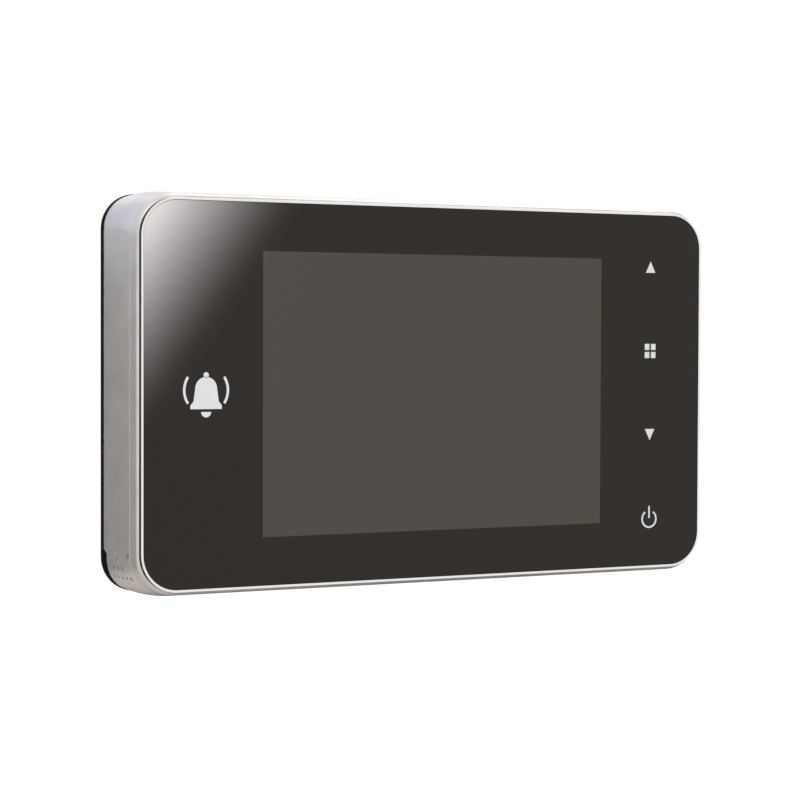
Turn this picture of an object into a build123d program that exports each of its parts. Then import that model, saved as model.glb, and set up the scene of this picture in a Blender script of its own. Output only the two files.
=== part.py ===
from build123d import *
import os
from math import cos, radians, sin

# Peephole door camera: an indoor monitor that hangs on a bracket, a threaded barrel that clamps
# the door between bracket and camera head, and the outdoor head with its lens and bell button.
# Sizes are in millimetres. The viewer stands indoors at -Y and looks along +Y; +X is to the right
# and +Z is up. The origin is on the barrel's axis, in the plane of the door's inner face.

os.makedirs("parts", exist_ok=True)

# Door that the product clamps: thickness now, and the thinnest it takes
DOOR_T = 40.0
DOOR_T_MIN = 38.0

# Monitor outline at the front, and how its side walls swell behind it: a little across, more in
# height, while the corners get tighter towards the rear
FRONT_W = 139.6
FRONT_H = 82.4
CORNER_R = 8.5
BODY_D = 21.6
CROWN = 0.3
CROWN_DEPTH = 12.0
SWELL_REAR = 0.75
SWELL_MIDDLE = 0.7
CORNER_TIGHTER = 1.4
WALL = 1.8
MONITOR_X = -29.0
DOOR_GAP = 0.4
FRONT_Y = -DOOR_GAP - BODY_D

# Front glass, and the window printed in it
GLASS_INSET = 1.05
GLASS_FRONT = 0.15
GLASS_T = 1.1
GLASS_BACK = GLASS_FRONT + GLASS_T
GLASS_EDGE = 0.05

# Bright trim round the glass: a flat front, a bevel outside it and a tongue behind it
TRIM_OUTER = 0.35
TRIM_INNER = 1.0
TRIM_BEVEL_W = 0.17
TRIM_BEVEL_D = 0.75
TONGUE_OUTER = 0.6
GROOVE_GAP = 0.05
TONGUE_BACK = 2.3

# Front frame
FRAME_FRONT = 0.9
FRAME_BACK = 4.6
FRAME_EDGE_R = 0.7
SHELF_INSET = 1.3
PLATE_T = 1.0
PLATE_BACK = GLASS_BACK + PLATE_T
KEY_U = 55.4
KEY_BOARD = (9.0, 61.0, 0.6)
BOSS_U = 50.0
BOSS_W = 35.2
BOSS_R = 2.8
BOSS_GAP = 0.1
SCREW_R = 1.15
SCREW_TIP = 11.0
SCREW_HEAD_R = 2.2
PILOT_R = 1.2
PILOT_END = 10.0
COUNTERBORE_R = 2.5
COUNTERBORE_D = 1.4

# Display behind the glass
PANEL_SIZE = (87.6, 63.6)
PANEL_FRONT = 1.3
PANEL_T = 1.1
BACKLIGHT_SIZE = (90.0, 66.0)
BACKLIGHT_FRONT = 2.45
BACKLIGHT_BACK = 4.1
FIT_GAP = 0.4

# Side wall
SEAM_R = 0.12
HOUSING_FRONT = 4.66
HOUSING_BACK = 19.8
HOLE_R = 0.4
HOLE_ROWS = ((1.0, (11.8,)), (14.6, (9.4, 11.7, 14.0)), (30.5, (6.9, 9.1, 11.3, 13.5, 15.7)))
HOLE_CUT = 3.4
PRY_SLOT = (1.7, 0.6)
PRY_DEPTH = 5.9
PRY_W = -33.4
PRY_TILT = 45.0
NOTCH_TOP = -32.8
NOTCH_BOTTOM = -40.4
NOTCH_DEPTH = 17.8
NOTCH_STEP = 1.0

# Rear cover
PLATE_IN = 19.0
RIM_GROWTH = 0.17
RIM_R = 0.5
LIP_OUTER = 1.95
LIP_INNER = 3.1
LIP_FRONT = 17.3

# Battery tray in the rear cover: four cells side by side, lying across the monitor
CELL_R = 7.25
CELL_L = 49.5
CELL_EDGE = 0.4
NUB_R = 2.7
NUB_L = 1.0
CELL_PITCH = 14.7
CELLS = 4
TRAY_U = (-63.2, -8.4)
TRAY_W = 29.5
TRAY_WALL = 1.2
TRAY_SIDE = 2.1
TRAY_FLOOR = 5.1
TRAY_FLOOR_T = 0.8
CELL_DEPTH = TRAY_FLOOR + 0.1 + CELL_R
CELL_U = (TRAY_U[0] + TRAY_U[1]) / 2
CONTACT_T = 0.3
CONTACT_D = (7.5, 17.0)
CONTACT_REACH = 5.0
LEAF_REACH = 4.2
LEAF_WIDTH = 5.0
LEAF_GAP = 0.1
CRADLE_T = 1.0
CRADLE_H = 3.0
CRADLE_L = 44.0

# Battery cover: a lid that tilts out on two hook tabs at its left end
LID_T = 1.6
LID_U = (-66.6, -7.0)
LID_W = 30.85
LID_GAP = 0.15
LID_SEAT = 0.1
LID_PIVOT_U = LID_U[0] + LID_T / 2
LID_PIVOT_D = BODY_D - LID_T / 2
TAB_W = 18.0
TAB_WIDTH = 7.0
TAB_SLOT = 8.6
TAB_WEB = (-0.5, 0.3)
TAB_FOOT = -1.7
TAB_DROP = (-1.5, -2.4)
TAB_GAP = 0.12
TAB_POCKET_U = -68.0
SCOOP_R = 5.0
SCOOP_D = 1.2
GRIP_RIBS = 4
GRIP_PITCH = 1.6
GRIP_SIZE = (0.7, 14.0, 0.35)

# Recess in the rear cover for the door bracket
RECESS_U = (-1.0, 59.0)
RECESS_W = (-31.0, 29.0)
RECESS_R = 3.0
RECESS_FLOOR = 17.8
RECESS_FLOOR_T = 1.4
RECESS_WALL = 1.2

# Main board and what is on it
BOARD_U = (-4.0, 66.0)
BOARD_W = 30.0
BOARD_FRONT = 8.0
BOARD_T = 1.2
BOARD_BACK = BOARD_FRONT + BOARD_T
POST_R = 2.5
POST_U = (2.0, 56.0)
POST_W = 24.0
BOARD_SCREW_R = 0.95
BOARD_SCREW_HEAD = (1.8, 1.1)
BOARD_SCREW_TIP = 14.0
BOARD_PILOT_BACK = 15.0
SHIELD_U = (8.0, 32.0)
SHIELD_W = (-3.0, 19.0)
SHIELD_FRONT = 5.4
RIBBON_W = -21.0
RIBBON_SOCKET = (20.0, 5.5, 6.0)
USB_W = -12.0
USB_SHELL = (7.6, 2.7)
USB_U = (62.9, 69.0)
CARD_W = 10.0
CARD = (15.0, 11.0, 0.75)
CARD_OUT_U = 69.4
CARD_DEPTH = 10.1
CARD_SHELL = (14.0, 1.9)

# Speaker behind the side wall's holes
SPEAKER_U = (-63.0, -59.8)
SPEAKER_W = (-39.0, -32.6)
SPEAKER_D = (3.2, 17.0)
SPEAKER_RIB_D = 12.0
FOAM_GAP = 0.1
GASKET_RIM = 1.1

# Door bracket, pressed from sheet steel
SHEET = 1.2
BRACKET_W = 56.0
BRACKET_H = 52.0
BRACKET_R = 4.0
BRACKET_HOLE_R = 7.3
SCREW_HOLE_R = 2.1
SCREW_SPACING = (46.0, 42.0)
HOOK_X = 21.0
HOOK_Z = (14.0, -6.0)
HOOK_WIDTH = 6.0
HOOK_REACH = 7.0
HOOK_RISE = 3.4
HOOK_WINDOW = 9.2
HOOK_SLOT = 7.0
SLOT_ABOVE = 0.1
SLOT_BELOW = 5.4

# Clamp sleeve and camera barrel, which screw into each other inside the door
BARREL_R = 6.0
BARREL_BORE_R = 4.7
BARREL_L = DOOR_T_MIN - 2.0
THREAD_GAP = 0.03
SLEEVE_R = 6.9
SLEEVE_END = DOOR_T_MIN - 4.0
FLANGE_R = 10.0
FLANGE_T = 1.5
COIN_SLOT = (2.2, 0.8)
COLLAR_R = 8.0
COLLAR_T = 1.2

# Outdoor camera head, an upright oblong with round ends
HEAD_R = 20.0
HEAD_PITCH = 21.5
GASKET_T = 1.0
GASKET_INSET = 0.6
HEAD_BACK = DOOR_T + GASKET_T
HEAD_D = 13.5
HEAD_FRONT = HEAD_BACK + HEAD_D
HEAD_WALL = 2.2
HEAD_TAPER = 4.0
HEAD_EDGE_R = 2.5
PLATE_HEAD_T = 2.0
BELL_Z = -HEAD_PITCH
CAM_BOARD_Y = (46.0, 47.2)
HEAD_POST_R = (3.5, 2.5)
HEAD_PILOT = (1.25, 7.0)
HEAD_SCREW_R = 1.2
HEAD_SCREW_L = 6.5
HEAD_SCREW_HEAD_R = 2.2
HEAD_SCREW_SINK = 1.2
HOLDER = 13.0
HOLDER_T = 2.4
TUBE_R = 4.4
TUBE_L = 1.6
LENS_SEAT = 1.4
LENS_T = 3.0
CAM_POST = (12.5, -HEAD_PITCH / 2)
WINDOW_R = 7.9
WINDOW_T = 1.2
RING_R = 11.0
RING_T = 1.6
BELL_R = 6.8
BELL_PROUD = 1.8
BELL_RING_R = 9.5
BELL_TRAVEL = 0.8
BELL_EDGE = 0.5
BELL_FLANGE = 0.9
BELL_WALL = 1.5
BELL_STEM_R = 1.6
BELL_RING_T = 1.0
SWITCH = (6.2, 2.4)
PLUNGER_R = 1.7
LENS_R = 3.3


def view_plane(depth):
    """Plane that faces the viewer, at a depth behind the monitor's front, centred on the monitor."""
    return Plane(origin=(MONITOR_X, FRONT_Y + depth, 0), x_dir=(1, 0, 0), z_dir=(0, -1, 0))


def door_plane(y):
    """Plane that faces the viewer at a place along the barrel, centred on the barrel."""
    return Plane(origin=(0, y, 0), x_dir=(1, 0, 0), z_dir=(0, -1, 0))


def street_plane(y, z=0.0):
    """Plane that faces the street at a place along the barrel, a height above its axis."""
    return Plane(origin=(0, y, z), x_dir=(-1, 0, 0), z_dir=(0, 1, 0))


def outline(inset, mode=Mode.ADD):
    """Draw the monitor's front outline, drawn in by an inset."""
    RectangleRounded(FRONT_W - 2 * inset, FRONT_H - 2 * inset, CORNER_R - inset, mode=mode)


def swell_across(depth):
    """Distance that the left and right walls stand outside the front outline at a depth."""
    return CROWN * (1 - ((depth - CROWN_DEPTH) / CROWN_DEPTH) ** 2)


def swell_upright(depth):
    """Distance that the top and bottom walls stand outside the front outline at a depth."""
    share = depth / BODY_D
    return SWELL_REAR * share + 4 * SWELL_MIDDLE * share * (1 - share)


def corner_radius(depth):
    """Radius of the body's corners at a depth."""
    return CORNER_R + swell_across(depth) - CORNER_TIGHTER * depth / BODY_D


def body_outline(depth, grow=0.0):
    """Draw the body's outer outline at a depth, grown outwards by a distance."""
    RectangleRounded(
        FRONT_W + 2 * (swell_across(depth) + grow),
        FRONT_H + 2 * (swell_upright(depth) + grow),
        corner_radius(depth) + grow,
    )


def crowned_body(front, back, spans):
    """Loft the monitor's crowned outer form between two depths."""
    sections = []
    for i in range(spans + 1):
        depth = front + (back - front) * i / spans
        with BuildSketch(view_plane(depth)) as section:
            body_outline(depth)
        sections.append(section.sketch)
    loft(sections)


def prism(front, back, mode=Mode.ADD):
    """Extrude the sketch that was drawn at the back depth forward to the front depth."""
    extrude(amount=back - front, mode=mode)


def block(u, w, depth, mode=Mode.ADD):
    """Box on the monitor from its limits across, up and in depth."""
    with BuildSketch(view_plane(depth[1])) as section:
        with Locations(((u[0] + u[1]) / 2, (w[0] + w[1]) / 2)):
            Rectangle(u[1] - u[0], w[1] - w[0])
    extrude(section.sketch, amount=depth[1] - depth[0], mode=mode)


def around(centre, size):
    """Limits of a span of a given size around its centre."""
    return (centre - size / 2, centre + size / 2)


def oblong(inset, mode=Mode.ADD):
    """Draw the camera head's outline, drawn in by an inset."""
    with Locations((0, -HEAD_PITCH / 2)):
        SlotCenterToCenter(HEAD_PITCH, 2 * (HEAD_R - inset), rotation=90, mode=mode)


def turned(points):
    """Revolve a profile about the barrel's axis, from its radius and place pairs."""
    with BuildSketch(Plane.XY) as profile:
        with BuildLine():
            Polyline(*points, close=True)
        make_face()
    revolve(profile.sketch, axis=Axis.Y)


def street_disc(radius, y0, y1, z=0.0, mode=Mode.ADD):
    """Disc on the camera head between two places along the barrel's direction."""
    with BuildSketch(street_plane(y0, z)) as section:
        Circle(radius)
    extrude(section.sketch, amount=y1 - y0, mode=mode)


# Front glass: one flat pane with a fine ground edge
with BuildPart() as front_glass:
    with BuildSketch(view_plane(GLASS_BACK)):
        outline(GLASS_INSET)
    prism(GLASS_FRONT, GLASS_BACK)
    chamfer(front_glass.faces().sort_by(Axis.Y)[0].edges(), GLASS_EDGE)

# Bright trim: flat front, bevel to the outside, tongue that sits in the frame's groove
with BuildPart() as chrome_trim:
    with BuildSketch(view_plane(FRAME_FRONT)):
        outline(TRIM_OUTER)
    prism(TRIM_BEVEL_D, FRAME_FRONT)
    with BuildSketch(view_plane(TRIM_BEVEL_D)):
        outline(TRIM_OUTER)
    with BuildSketch(view_plane(0)):
        outline(TRIM_OUTER + TRIM_BEVEL_W)
    loft(ruled=True)
    with BuildSketch(view_plane(TONGUE_BACK)):
        outline(TONGUE_OUTER)
    prism(FRAME_FRONT, TONGUE_BACK)
    with BuildSketch(view_plane(TONGUE_BACK)):
        outline(TRIM_INNER)
    prism(0, TONGUE_BACK, Mode.SUBTRACT)

# Front frame: crowned wall, face plate behind the glass, groove for the trim and screw bosses
with BuildPart() as front_frame:
    crowned_body(FRAME_FRONT, FRAME_BACK, 1)
    fillet(front_frame.faces().sort_by(Axis.Y)[0].edges(), FRAME_EDGE_R)
    fillet(front_frame.faces().sort_by(Axis.Y)[-1].edges(), SEAM_R)
    with BuildSketch(view_plane(GLASS_BACK)):
        outline(TONGUE_OUTER - GROOVE_GAP)
    prism(0, GLASS_BACK, Mode.SUBTRACT)
    with BuildSketch(view_plane(TONGUE_BACK)):
        outline(TONGUE_OUTER - GROOVE_GAP)
        outline(SHELF_INSET, mode=Mode.SUBTRACT)
    prism(GLASS_BACK, TONGUE_BACK, Mode.SUBTRACT)
    with BuildSketch(view_plane(FRAME_BACK)):
        outline(WALL)
    prism(PLATE_BACK, FRAME_BACK, Mode.SUBTRACT)
    block(around(0, PANEL_SIZE[0] + 2 * FIT_GAP), around(0, PANEL_SIZE[1] + 2 * FIT_GAP),
          (GLASS_BACK, PLATE_BACK), Mode.SUBTRACT)
    block(around(KEY_U, KEY_BOARD[0] + 2.0), around(0, KEY_BOARD[1] + 2.0), (GLASS_BACK, PLATE_BACK),
          Mode.SUBTRACT)
    with BuildSketch(view_plane(PLATE_IN - BOSS_GAP)):
        with GridLocations(2 * BOSS_U, 2 * BOSS_W, 2, 2):
            Circle(BOSS_R)
    prism(PLATE_BACK, PLATE_IN - BOSS_GAP)
    with BuildSketch(view_plane(PLATE_IN)):
        with GridLocations(2 * BOSS_U, 2 * BOSS_W, 2, 2):
            Circle(PILOT_R)
    prism(PILOT_END, PLATE_IN, Mode.SUBTRACT)
    # rib that holds the speaker against the side wall
    block((SPEAKER_U[1] + FOAM_GAP, SPEAKER_U[1] + FOAM_GAP + 1.0), SPEAKER_W, (PLATE_BACK, SPEAKER_RIB_D))

# Main housing: the silver side wall between front frame and rear cover
def corner_plane(angle):
    """Plane on the lower left corner's surface, its x along the depth, from the frontmost point."""
    out = (-cos(radians(angle)), 0, -sin(radians(angle)))
    reach = corner_radius(CROWN_DEPTH)
    centre_u = -(FRONT_W / 2 + CROWN - reach)
    centre_w = -(FRONT_H / 2 + swell_upright(CROWN_DEPTH) - reach)
    origin = (MONITOR_X + centre_u + reach * out[0], FRONT_Y, centre_w + reach * out[2])
    return Plane(origin=origin, x_dir=(0, 1, 0), z_dir=out)


def notch_outline(gap):
    """Draw the corner notch as seen from the left, drawn in by a gap on every side."""
    Polygon(
        (HOUSING_BACK + 0.2, NOTCH_TOP - gap),
        (NOTCH_DEPTH + gap, NOTCH_TOP - NOTCH_STEP - gap),
        (NOTCH_DEPTH + gap, NOTCH_TOP - 3.6),
        (NOTCH_DEPTH + NOTCH_STEP + gap, NOTCH_BOTTOM + gap),
        (HOUSING_BACK + 0.2, NOTCH_BOTTOM + gap),
        align=None,
    )


SIDE_PLANE = Plane(origin=(MONITOR_X - 72.0, FRONT_Y, 0), x_dir=(0, 1, 0), z_dir=(1, 0, 0))

with BuildPart() as main_housing:
    crowned_body(HOUSING_FRONT, HOUSING_BACK, 3)
    fillet(main_housing.faces().sort_by(Axis.Y)[0].edges(), SEAM_R)
    with BuildSketch(view_plane(HOUSING_BACK)):
        outline(WALL)
    prism(HOUSING_FRONT, HOUSING_BACK, Mode.SUBTRACT)
    # speaker holes, a triangle that widens round the corner
    for angle, depths in HOLE_ROWS:
        with BuildSketch(corner_plane(angle)):
            with Locations(*[(depth, 0) for depth in depths]):
                Circle(HOLE_R)
        extrude(amount=HOLE_CUT, both=True, mode=Mode.SUBTRACT)
    # slanted pry slot at the lower end of the seam
    with BuildSketch(Plane(origin=(MONITOR_X - FRONT_W / 2 - CROWN, FRONT_Y, 0), x_dir=(0, 1, 0),
                           z_dir=(-1, 0, 0))):
        with Locations((PRY_DEPTH, -PRY_W)):
            SlotOverall(*PRY_SLOT, rotation=PRY_TILT)
    extrude(amount=0.9, both=True, mode=Mode.SUBTRACT)
    # notch at the rear corner
    with BuildSketch(SIDE_PLANE):
        notch_outline(0.0)
    extrude(amount=10.0, mode=Mode.SUBTRACT)
    # openings for the sockets in the right wall
    block((66.0, 72.0), around(USB_W, 8.6), around(BOARD_BACK + USB_SHELL[1] / 2, 3.6), Mode.SUBTRACT)
    block((66.0, 72.0), around(CARD_W, 12.4), around(CARD_DEPTH, 1.9), Mode.SUBTRACT)

# Rear cover: back plate with a rounded rim, lip inside the housing, battery tray and bracket recess
with BuildPart() as rear_cover:
    # lug that fills the housing's corner notch
    with BuildSketch(view_plane(HOUSING_BACK)):
        body_outline(HOUSING_BACK, -0.1)
        outline(LIP_INNER, mode=Mode.SUBTRACT)
    prism(NOTCH_DEPTH, HOUSING_BACK)
    with BuildSketch(SIDE_PLANE):
        notch_outline(0.1)
    extrude(amount=10.0, mode=Mode.INTERSECT)
    # back plate and its thicker middle
    with BuildSketch(view_plane(BODY_D)):
        body_outline(HOUSING_BACK, RIM_GROWTH)
    prism(HOUSING_BACK, BODY_D)
    fillet(rear_cover.faces().sort_by(Axis.Y)[-1].outer_wire().edges(), RIM_R)
    with BuildSketch(view_plane(HOUSING_BACK)):
        outline(LIP_OUTER)
    prism(PLATE_IN, HOUSING_BACK)
    with BuildSketch(view_plane(PLATE_IN)):
        outline(LIP_OUTER)
        outline(LIP_INNER, mode=Mode.SUBTRACT)
    prism(LIP_FRONT, PLATE_IN)
    # battery tray
    block((TRAY_U[0] - TRAY_WALL, TRAY_U[1] + TRAY_WALL), around(0, 2 * (TRAY_W + TRAY_SIDE)),
          (TRAY_FLOOR - TRAY_FLOOR_T, PLATE_IN))
    block(TRAY_U, around(0, 2 * TRAY_W), (TRAY_FLOOR, BODY_D), Mode.SUBTRACT)
    for i in range(CELLS - 1):
        block(around(CELL_U, CRADLE_L), around((i + 1 - CELLS / 2) * CELL_PITCH, CRADLE_T),
              (TRAY_FLOOR, TRAY_FLOOR + CRADLE_H))
    # landing for the battery cover, with room under it for the hook tabs
    with BuildSketch(view_plane(BODY_D)):
        with Locations(((LID_U[0] + LID_U[1]) / 2, 0)):
            Rectangle(LID_U[1] - LID_U[0] + 0.1, 2 * (LID_W + LID_GAP))
    prism(BODY_D - LID_T - LID_SEAT, BODY_D, Mode.SUBTRACT)
    for side in (-1, 1):
        block((TAB_POCKET_U, TRAY_U[0] + CONTACT_T), around(side * TAB_W, TAB_SLOT),
              (LIP_FRONT, LID_PIVOT_D + TAB_DROP[0] + TAB_GAP), Mode.SUBTRACT)
        block((LID_U[0], TRAY_U[0] + CONTACT_T), around(side * TAB_W, TAB_SLOT),
              (LIP_FRONT, BODY_D), Mode.SUBTRACT)
    # finger scoop beside the lid's free end
    with BuildSketch(view_plane(BODY_D)):
        with Locations((LID_U[1], 0)):
            Circle(SCOOP_R)
    prism(BODY_D - SCOOP_D, BODY_D, Mode.SUBTRACT)
    # bracket recess: walled pocket, hook slots and the window over the ribbon socket
    block((RECESS_U[0] - RECESS_WALL, RECESS_U[1] + RECESS_WALL),
          (RECESS_W[0] - RECESS_WALL, RECESS_W[1] + RECESS_WALL),
          (RECESS_FLOOR - RECESS_FLOOR_T, PLATE_IN))
    with BuildSketch(view_plane(BODY_D)):
        with Locations(((RECESS_U[0] + RECESS_U[1]) / 2, (RECESS_W[0] + RECESS_W[1]) / 2)):
            RectangleRounded(RECESS_U[1] - RECESS_U[0], RECESS_W[1] - RECESS_W[0], RECESS_R)
    prism(RECESS_FLOOR, BODY_D, Mode.SUBTRACT)
    for hook_x in (-HOOK_X, HOOK_X):
        for hook_z in HOOK_Z:
            block(around(hook_x - MONITOR_X, HOOK_SLOT), (hook_z - SLOT_BELOW, hook_z + SLOT_ABOVE),
                  (RECESS_FLOOR - RECESS_FLOOR_T, RECESS_FLOOR), Mode.SUBTRACT)
    block(around(-MONITOR_X, RIBBON_SOCKET[0] + 2.0), around(RIBBON_W, RIBBON_SOCKET[1] + 2.0),
          (RECESS_FLOOR - RECESS_FLOOR_T, RECESS_FLOOR), Mode.SUBTRACT)
    # posts that carry the main board
    with BuildSketch(view_plane(RECESS_FLOOR - RECESS_FLOOR_T)):
        with Locations(((POST_U[0] + POST_U[1]) / 2, 0)):
            with GridLocations(POST_U[1] - POST_U[0], 2 * POST_W, 2, 2):
                Circle(POST_R)
    prism(BOARD_BACK, RECESS_FLOOR - RECESS_FLOOR_T)
    with BuildSketch(view_plane(BOARD_PILOT_BACK)):
        with Locations(((POST_U[0] + POST_U[1]) / 2, 0)):
            with GridLocations(POST_U[1] - POST_U[0], 2 * POST_W, 2, 2):
                Circle(BOARD_SCREW_R + 0.05)
    prism(BOARD_BACK, BOARD_PILOT_BACK, Mode.SUBTRACT)
    # holes for the housing screws
    with BuildSketch(view_plane(BODY_D)):
        with GridLocations(2 * BOSS_U, 2 * BOSS_W, 2, 2):
            Circle(SCREW_R + 0.2)
    prism(PLATE_IN, BODY_D, Mode.SUBTRACT)
    with BuildSketch(view_plane(BODY_D)):
        with GridLocations(2 * BOSS_U, 2 * BOSS_W, 2, 2):
            Circle(COUNTERBORE_R)
    prism(BODY_D - COUNTERBORE_D, BODY_D, Mode.SUBTRACT)

# Battery cover: flush lid with a rounded hinge end and two hook tabs
with BuildPart() as battery_cover:
    block((LID_PIVOT_U, LID_U[1]), around(0, 2 * LID_W), (BODY_D - LID_T, BODY_D))
    with BuildSketch(Plane.XY.offset(-LID_W)):
        with Locations((MONITOR_X + LID_PIVOT_U, FRONT_Y + LID_PIVOT_D)):
            Circle(LID_T / 2)
    extrude(amount=2 * LID_W)
    for side in (-1, 1):
        block((LID_PIVOT_U + TAB_WEB[0], LID_PIVOT_U + TAB_WEB[1]), around(side * TAB_W, TAB_WIDTH),
              (LID_PIVOT_D + TAB_DROP[1], LID_PIVOT_D))
        block((LID_PIVOT_U + TAB_FOOT, LID_PIVOT_U + TAB_WEB[1]), around(side * TAB_W, TAB_WIDTH),
              (LID_PIVOT_D + TAB_DROP[1], LID_PIVOT_D + TAB_DROP[0]))
    # grip ribs next to the free end
    for i in range(GRIP_RIBS):
        block(around(LID_U[1] - SCOOP_R - GRIP_PITCH * i, GRIP_SIZE[0]), around(0, GRIP_SIZE[1]),
              (BODY_D - GRIP_SIZE[2], BODY_D), Mode.SUBTRACT)

# Cells: cans with a nub at the positive end, laid in turn left and right
cells = []
for i in range(CELLS):
    facing = 1 if i % 2 else -1
    start = MONITOR_X + CELL_U - facing * (CELL_L + NUB_L) / 2
    cell_plane = Plane(origin=(start, FRONT_Y + CELL_DEPTH, (i - (CELLS - 1) / 2) * CELL_PITCH),
                       x_dir=(0, 1, 0), z_dir=(facing, 0, 0))
    with BuildPart() as cell:
        with BuildSketch(cell_plane):
            Circle(CELL_R)
        extrude(amount=CELL_L)
        chamfer(cell.edges(), CELL_EDGE)
        with BuildSketch(cell_plane.offset(CELL_L)):
            Circle(NUB_R)
        extrude(amount=NUB_L)
    cell.part.label = f"battery_{i + 1}"
    cells.append(cell.part)


def contact(edge_u, inward, w0, w1):
    """Sheet contact against a tray end wall, from one height to another."""
    block(tuple(sorted((edge_u, edge_u + inward * CONTACT_T))), (w0, w1), CONTACT_D)


def leaf(edge_u, inward, w):
    """Arched leaf that presses on one cell's end."""
    base = edge_u + inward * CONTACT_T
    top = edge_u + inward * (TRAY_U[1] - TRAY_U[0] - CELL_L - NUB_L) / 2
    inner = LEAF_REACH - CONTACT_T
    with BuildSketch(view_plane(CELL_DEPTH + LEAF_WIDTH / 2)) as section:
        with BuildLine():
            ThreePointArc((base, w - LEAF_REACH), (top - inward * LEAF_GAP, w), (base, w + LEAF_REACH))
            Line((base, w + LEAF_REACH), (base, w + inner))
            ThreePointArc((base, w + inner), (top - inward * (LEAF_GAP + CONTACT_T), w), (base, w - inner))
            Line((base, w - inner), (base, w - LEAF_REACH))
        make_face()
    extrude(section.sketch, amount=LEAF_WIDTH)


CELL_W = [(i - (CELLS - 1) / 2) * CELL_PITCH for i in range(CELLS)]

# Contacts: two bridges at the left end, two ends and a bridge at the right end
with BuildPart() as contacts_left:
    for first in (0, 2):
        contact(TRAY_U[0], 1, CELL_W[first] - CONTACT_REACH, CELL_W[first + 1] + CONTACT_REACH)
    for w in CELL_W:
        leaf(TRAY_U[0], 1, w)

with BuildPart() as contacts_right:
    for first, last in ((0, 0), (1, 2), (3, 3)):
        contact(TRAY_U[1], -1, CELL_W[first] - CONTACT_REACH, CELL_W[last] + CONTACT_REACH)
    for w in CELL_W:
        leaf(TRAY_U[1], -1, w)

# Display panel and the backlight unit behind it
with BuildPart() as display_panel:
    block(around(0, PANEL_SIZE[0]), around(0, PANEL_SIZE[1]), (PANEL_FRONT, PANEL_FRONT + PANEL_T))

with BuildPart() as backlight_unit:
    block(around(0, BACKLIGHT_SIZE[0]), around(0, BACKLIGHT_SIZE[1]), (BACKLIGHT_FRONT, BACKLIGHT_BACK))
    fillet(backlight_unit.edges().filter_by(Axis.Y), 1.0)

# Touch key board behind the printed symbols
with BuildPart() as touch_key_board:
    block(around(KEY_U, KEY_BOARD[0]), around(0, KEY_BOARD[1]),
          (GLASS_BACK + 0.05, GLASS_BACK + 0.05 + KEY_BOARD[2]))
    fillet(touch_key_board.edges().filter_by(Axis.Y), 1.0)

# Main board on the rear cover's posts
with BuildPart() as main_board:
    block(BOARD_U, around(0, 2 * BOARD_W), (BOARD_FRONT, BOARD_BACK))
    fillet(main_board.edges().filter_by(Axis.Y), 1.5)
    with BuildSketch(view_plane(BOARD_BACK)):
        with Locations(((POST_U[0] + POST_U[1]) / 2, 0)):
            with GridLocations(POST_U[1] - POST_U[0], 2 * POST_W, 2, 2):
                Circle(BOARD_SCREW_R + 0.15)
    prism(BOARD_FRONT, BOARD_BACK, Mode.SUBTRACT)

with BuildPart() as processor_shield:
    block(SHIELD_U, SHIELD_W, (SHIELD_FRONT, BOARD_FRONT))
    fillet(processor_shield.edges().filter_by(Axis.Y), 1.0)

with BuildPart() as ribbon_socket:
    block(around(-MONITOR_X, RIBBON_SOCKET[0]), around(RIBBON_W, RIBBON_SOCKET[1]),
          (BOARD_BACK, BOARD_BACK + RIBBON_SOCKET[2]))
    block(around(-MONITOR_X, RIBBON_SOCKET[0] - 3.0), around(RIBBON_W, 1.2),
          (BOARD_BACK + 2.0, BOARD_BACK + RIBBON_SOCKET[2]), Mode.SUBTRACT)

with BuildPart() as usb_socket:
    block(USB_U, around(USB_W, USB_SHELL[0]), (BOARD_BACK, BOARD_BACK + USB_SHELL[1]))
    block((USB_U[0] + 1.0, USB_U[1]), around(USB_W, USB_SHELL[0] - 0.6),
          (BOARD_BACK + 0.3, BOARD_BACK + USB_SHELL[1] - 0.3), Mode.SUBTRACT)
    block((USB_U[0], USB_U[1] - 1.2), around(USB_W, 5.0),
          around(BOARD_BACK + USB_SHELL[1] / 2, 0.7))

with BuildPart() as card_socket:
    shell_u = (CARD_OUT_U - CARD[0] - 0.8, 68.0 - 0.1)
    block(shell_u, around(CARD_W, CARD_SHELL[0]), (BOARD_BACK, BOARD_BACK + CARD_SHELL[1]))
    block((CARD_OUT_U - CARD[0] - 0.1, shell_u[1]), around(CARD_W, CARD[1] + 0.2),
          around(CARD_DEPTH, CARD[2] + 0.2), Mode.SUBTRACT)

with BuildPart() as memory_card:
    block((CARD_OUT_U - CARD[0], CARD_OUT_U), around(CARD_W, CARD[1]), around(CARD_DEPTH, CARD[2]))
    block((CARD_OUT_U - CARD[0], CARD_OUT_U - 6.0), (CARD_W + CARD[1] / 2 - 1.0, CARD_W + CARD[1] / 2),
          around(CARD_DEPTH, CARD[2]), Mode.SUBTRACT)

# Speaker and its foam gasket against the curved wall
with BuildPart() as speaker:
    block(SPEAKER_U, SPEAKER_W, SPEAKER_D)
    fillet(speaker.edges().filter_by(Axis.X), 2.0)

with BuildPart() as speaker_gasket:
    with BuildSketch(view_plane(SPEAKER_D[1])):
        outline(WALL + GROOVE_GAP)
        with Locations(((SPEAKER_U[0] - FRONT_W / 2) / 2, (SPEAKER_W[0] + SPEAKER_W[1]) / 2)):
            Rectangle(FRONT_W / 2 + SPEAKER_U[0], SPEAKER_W[1] - SPEAKER_W[0], mode=Mode.INTERSECT)
    prism(HOUSING_FRONT + FOAM_GAP, SPEAKER_D[1])
    block((-FRONT_W / 2, SPEAKER_U[0]), (SPEAKER_W[0] + GASKET_RIM, SPEAKER_W[1] - GASKET_RIM),
          (HOUSING_FRONT + FOAM_GAP + GASKET_RIM, SPEAKER_D[1] - GASKET_RIM), Mode.SUBTRACT)

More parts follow.
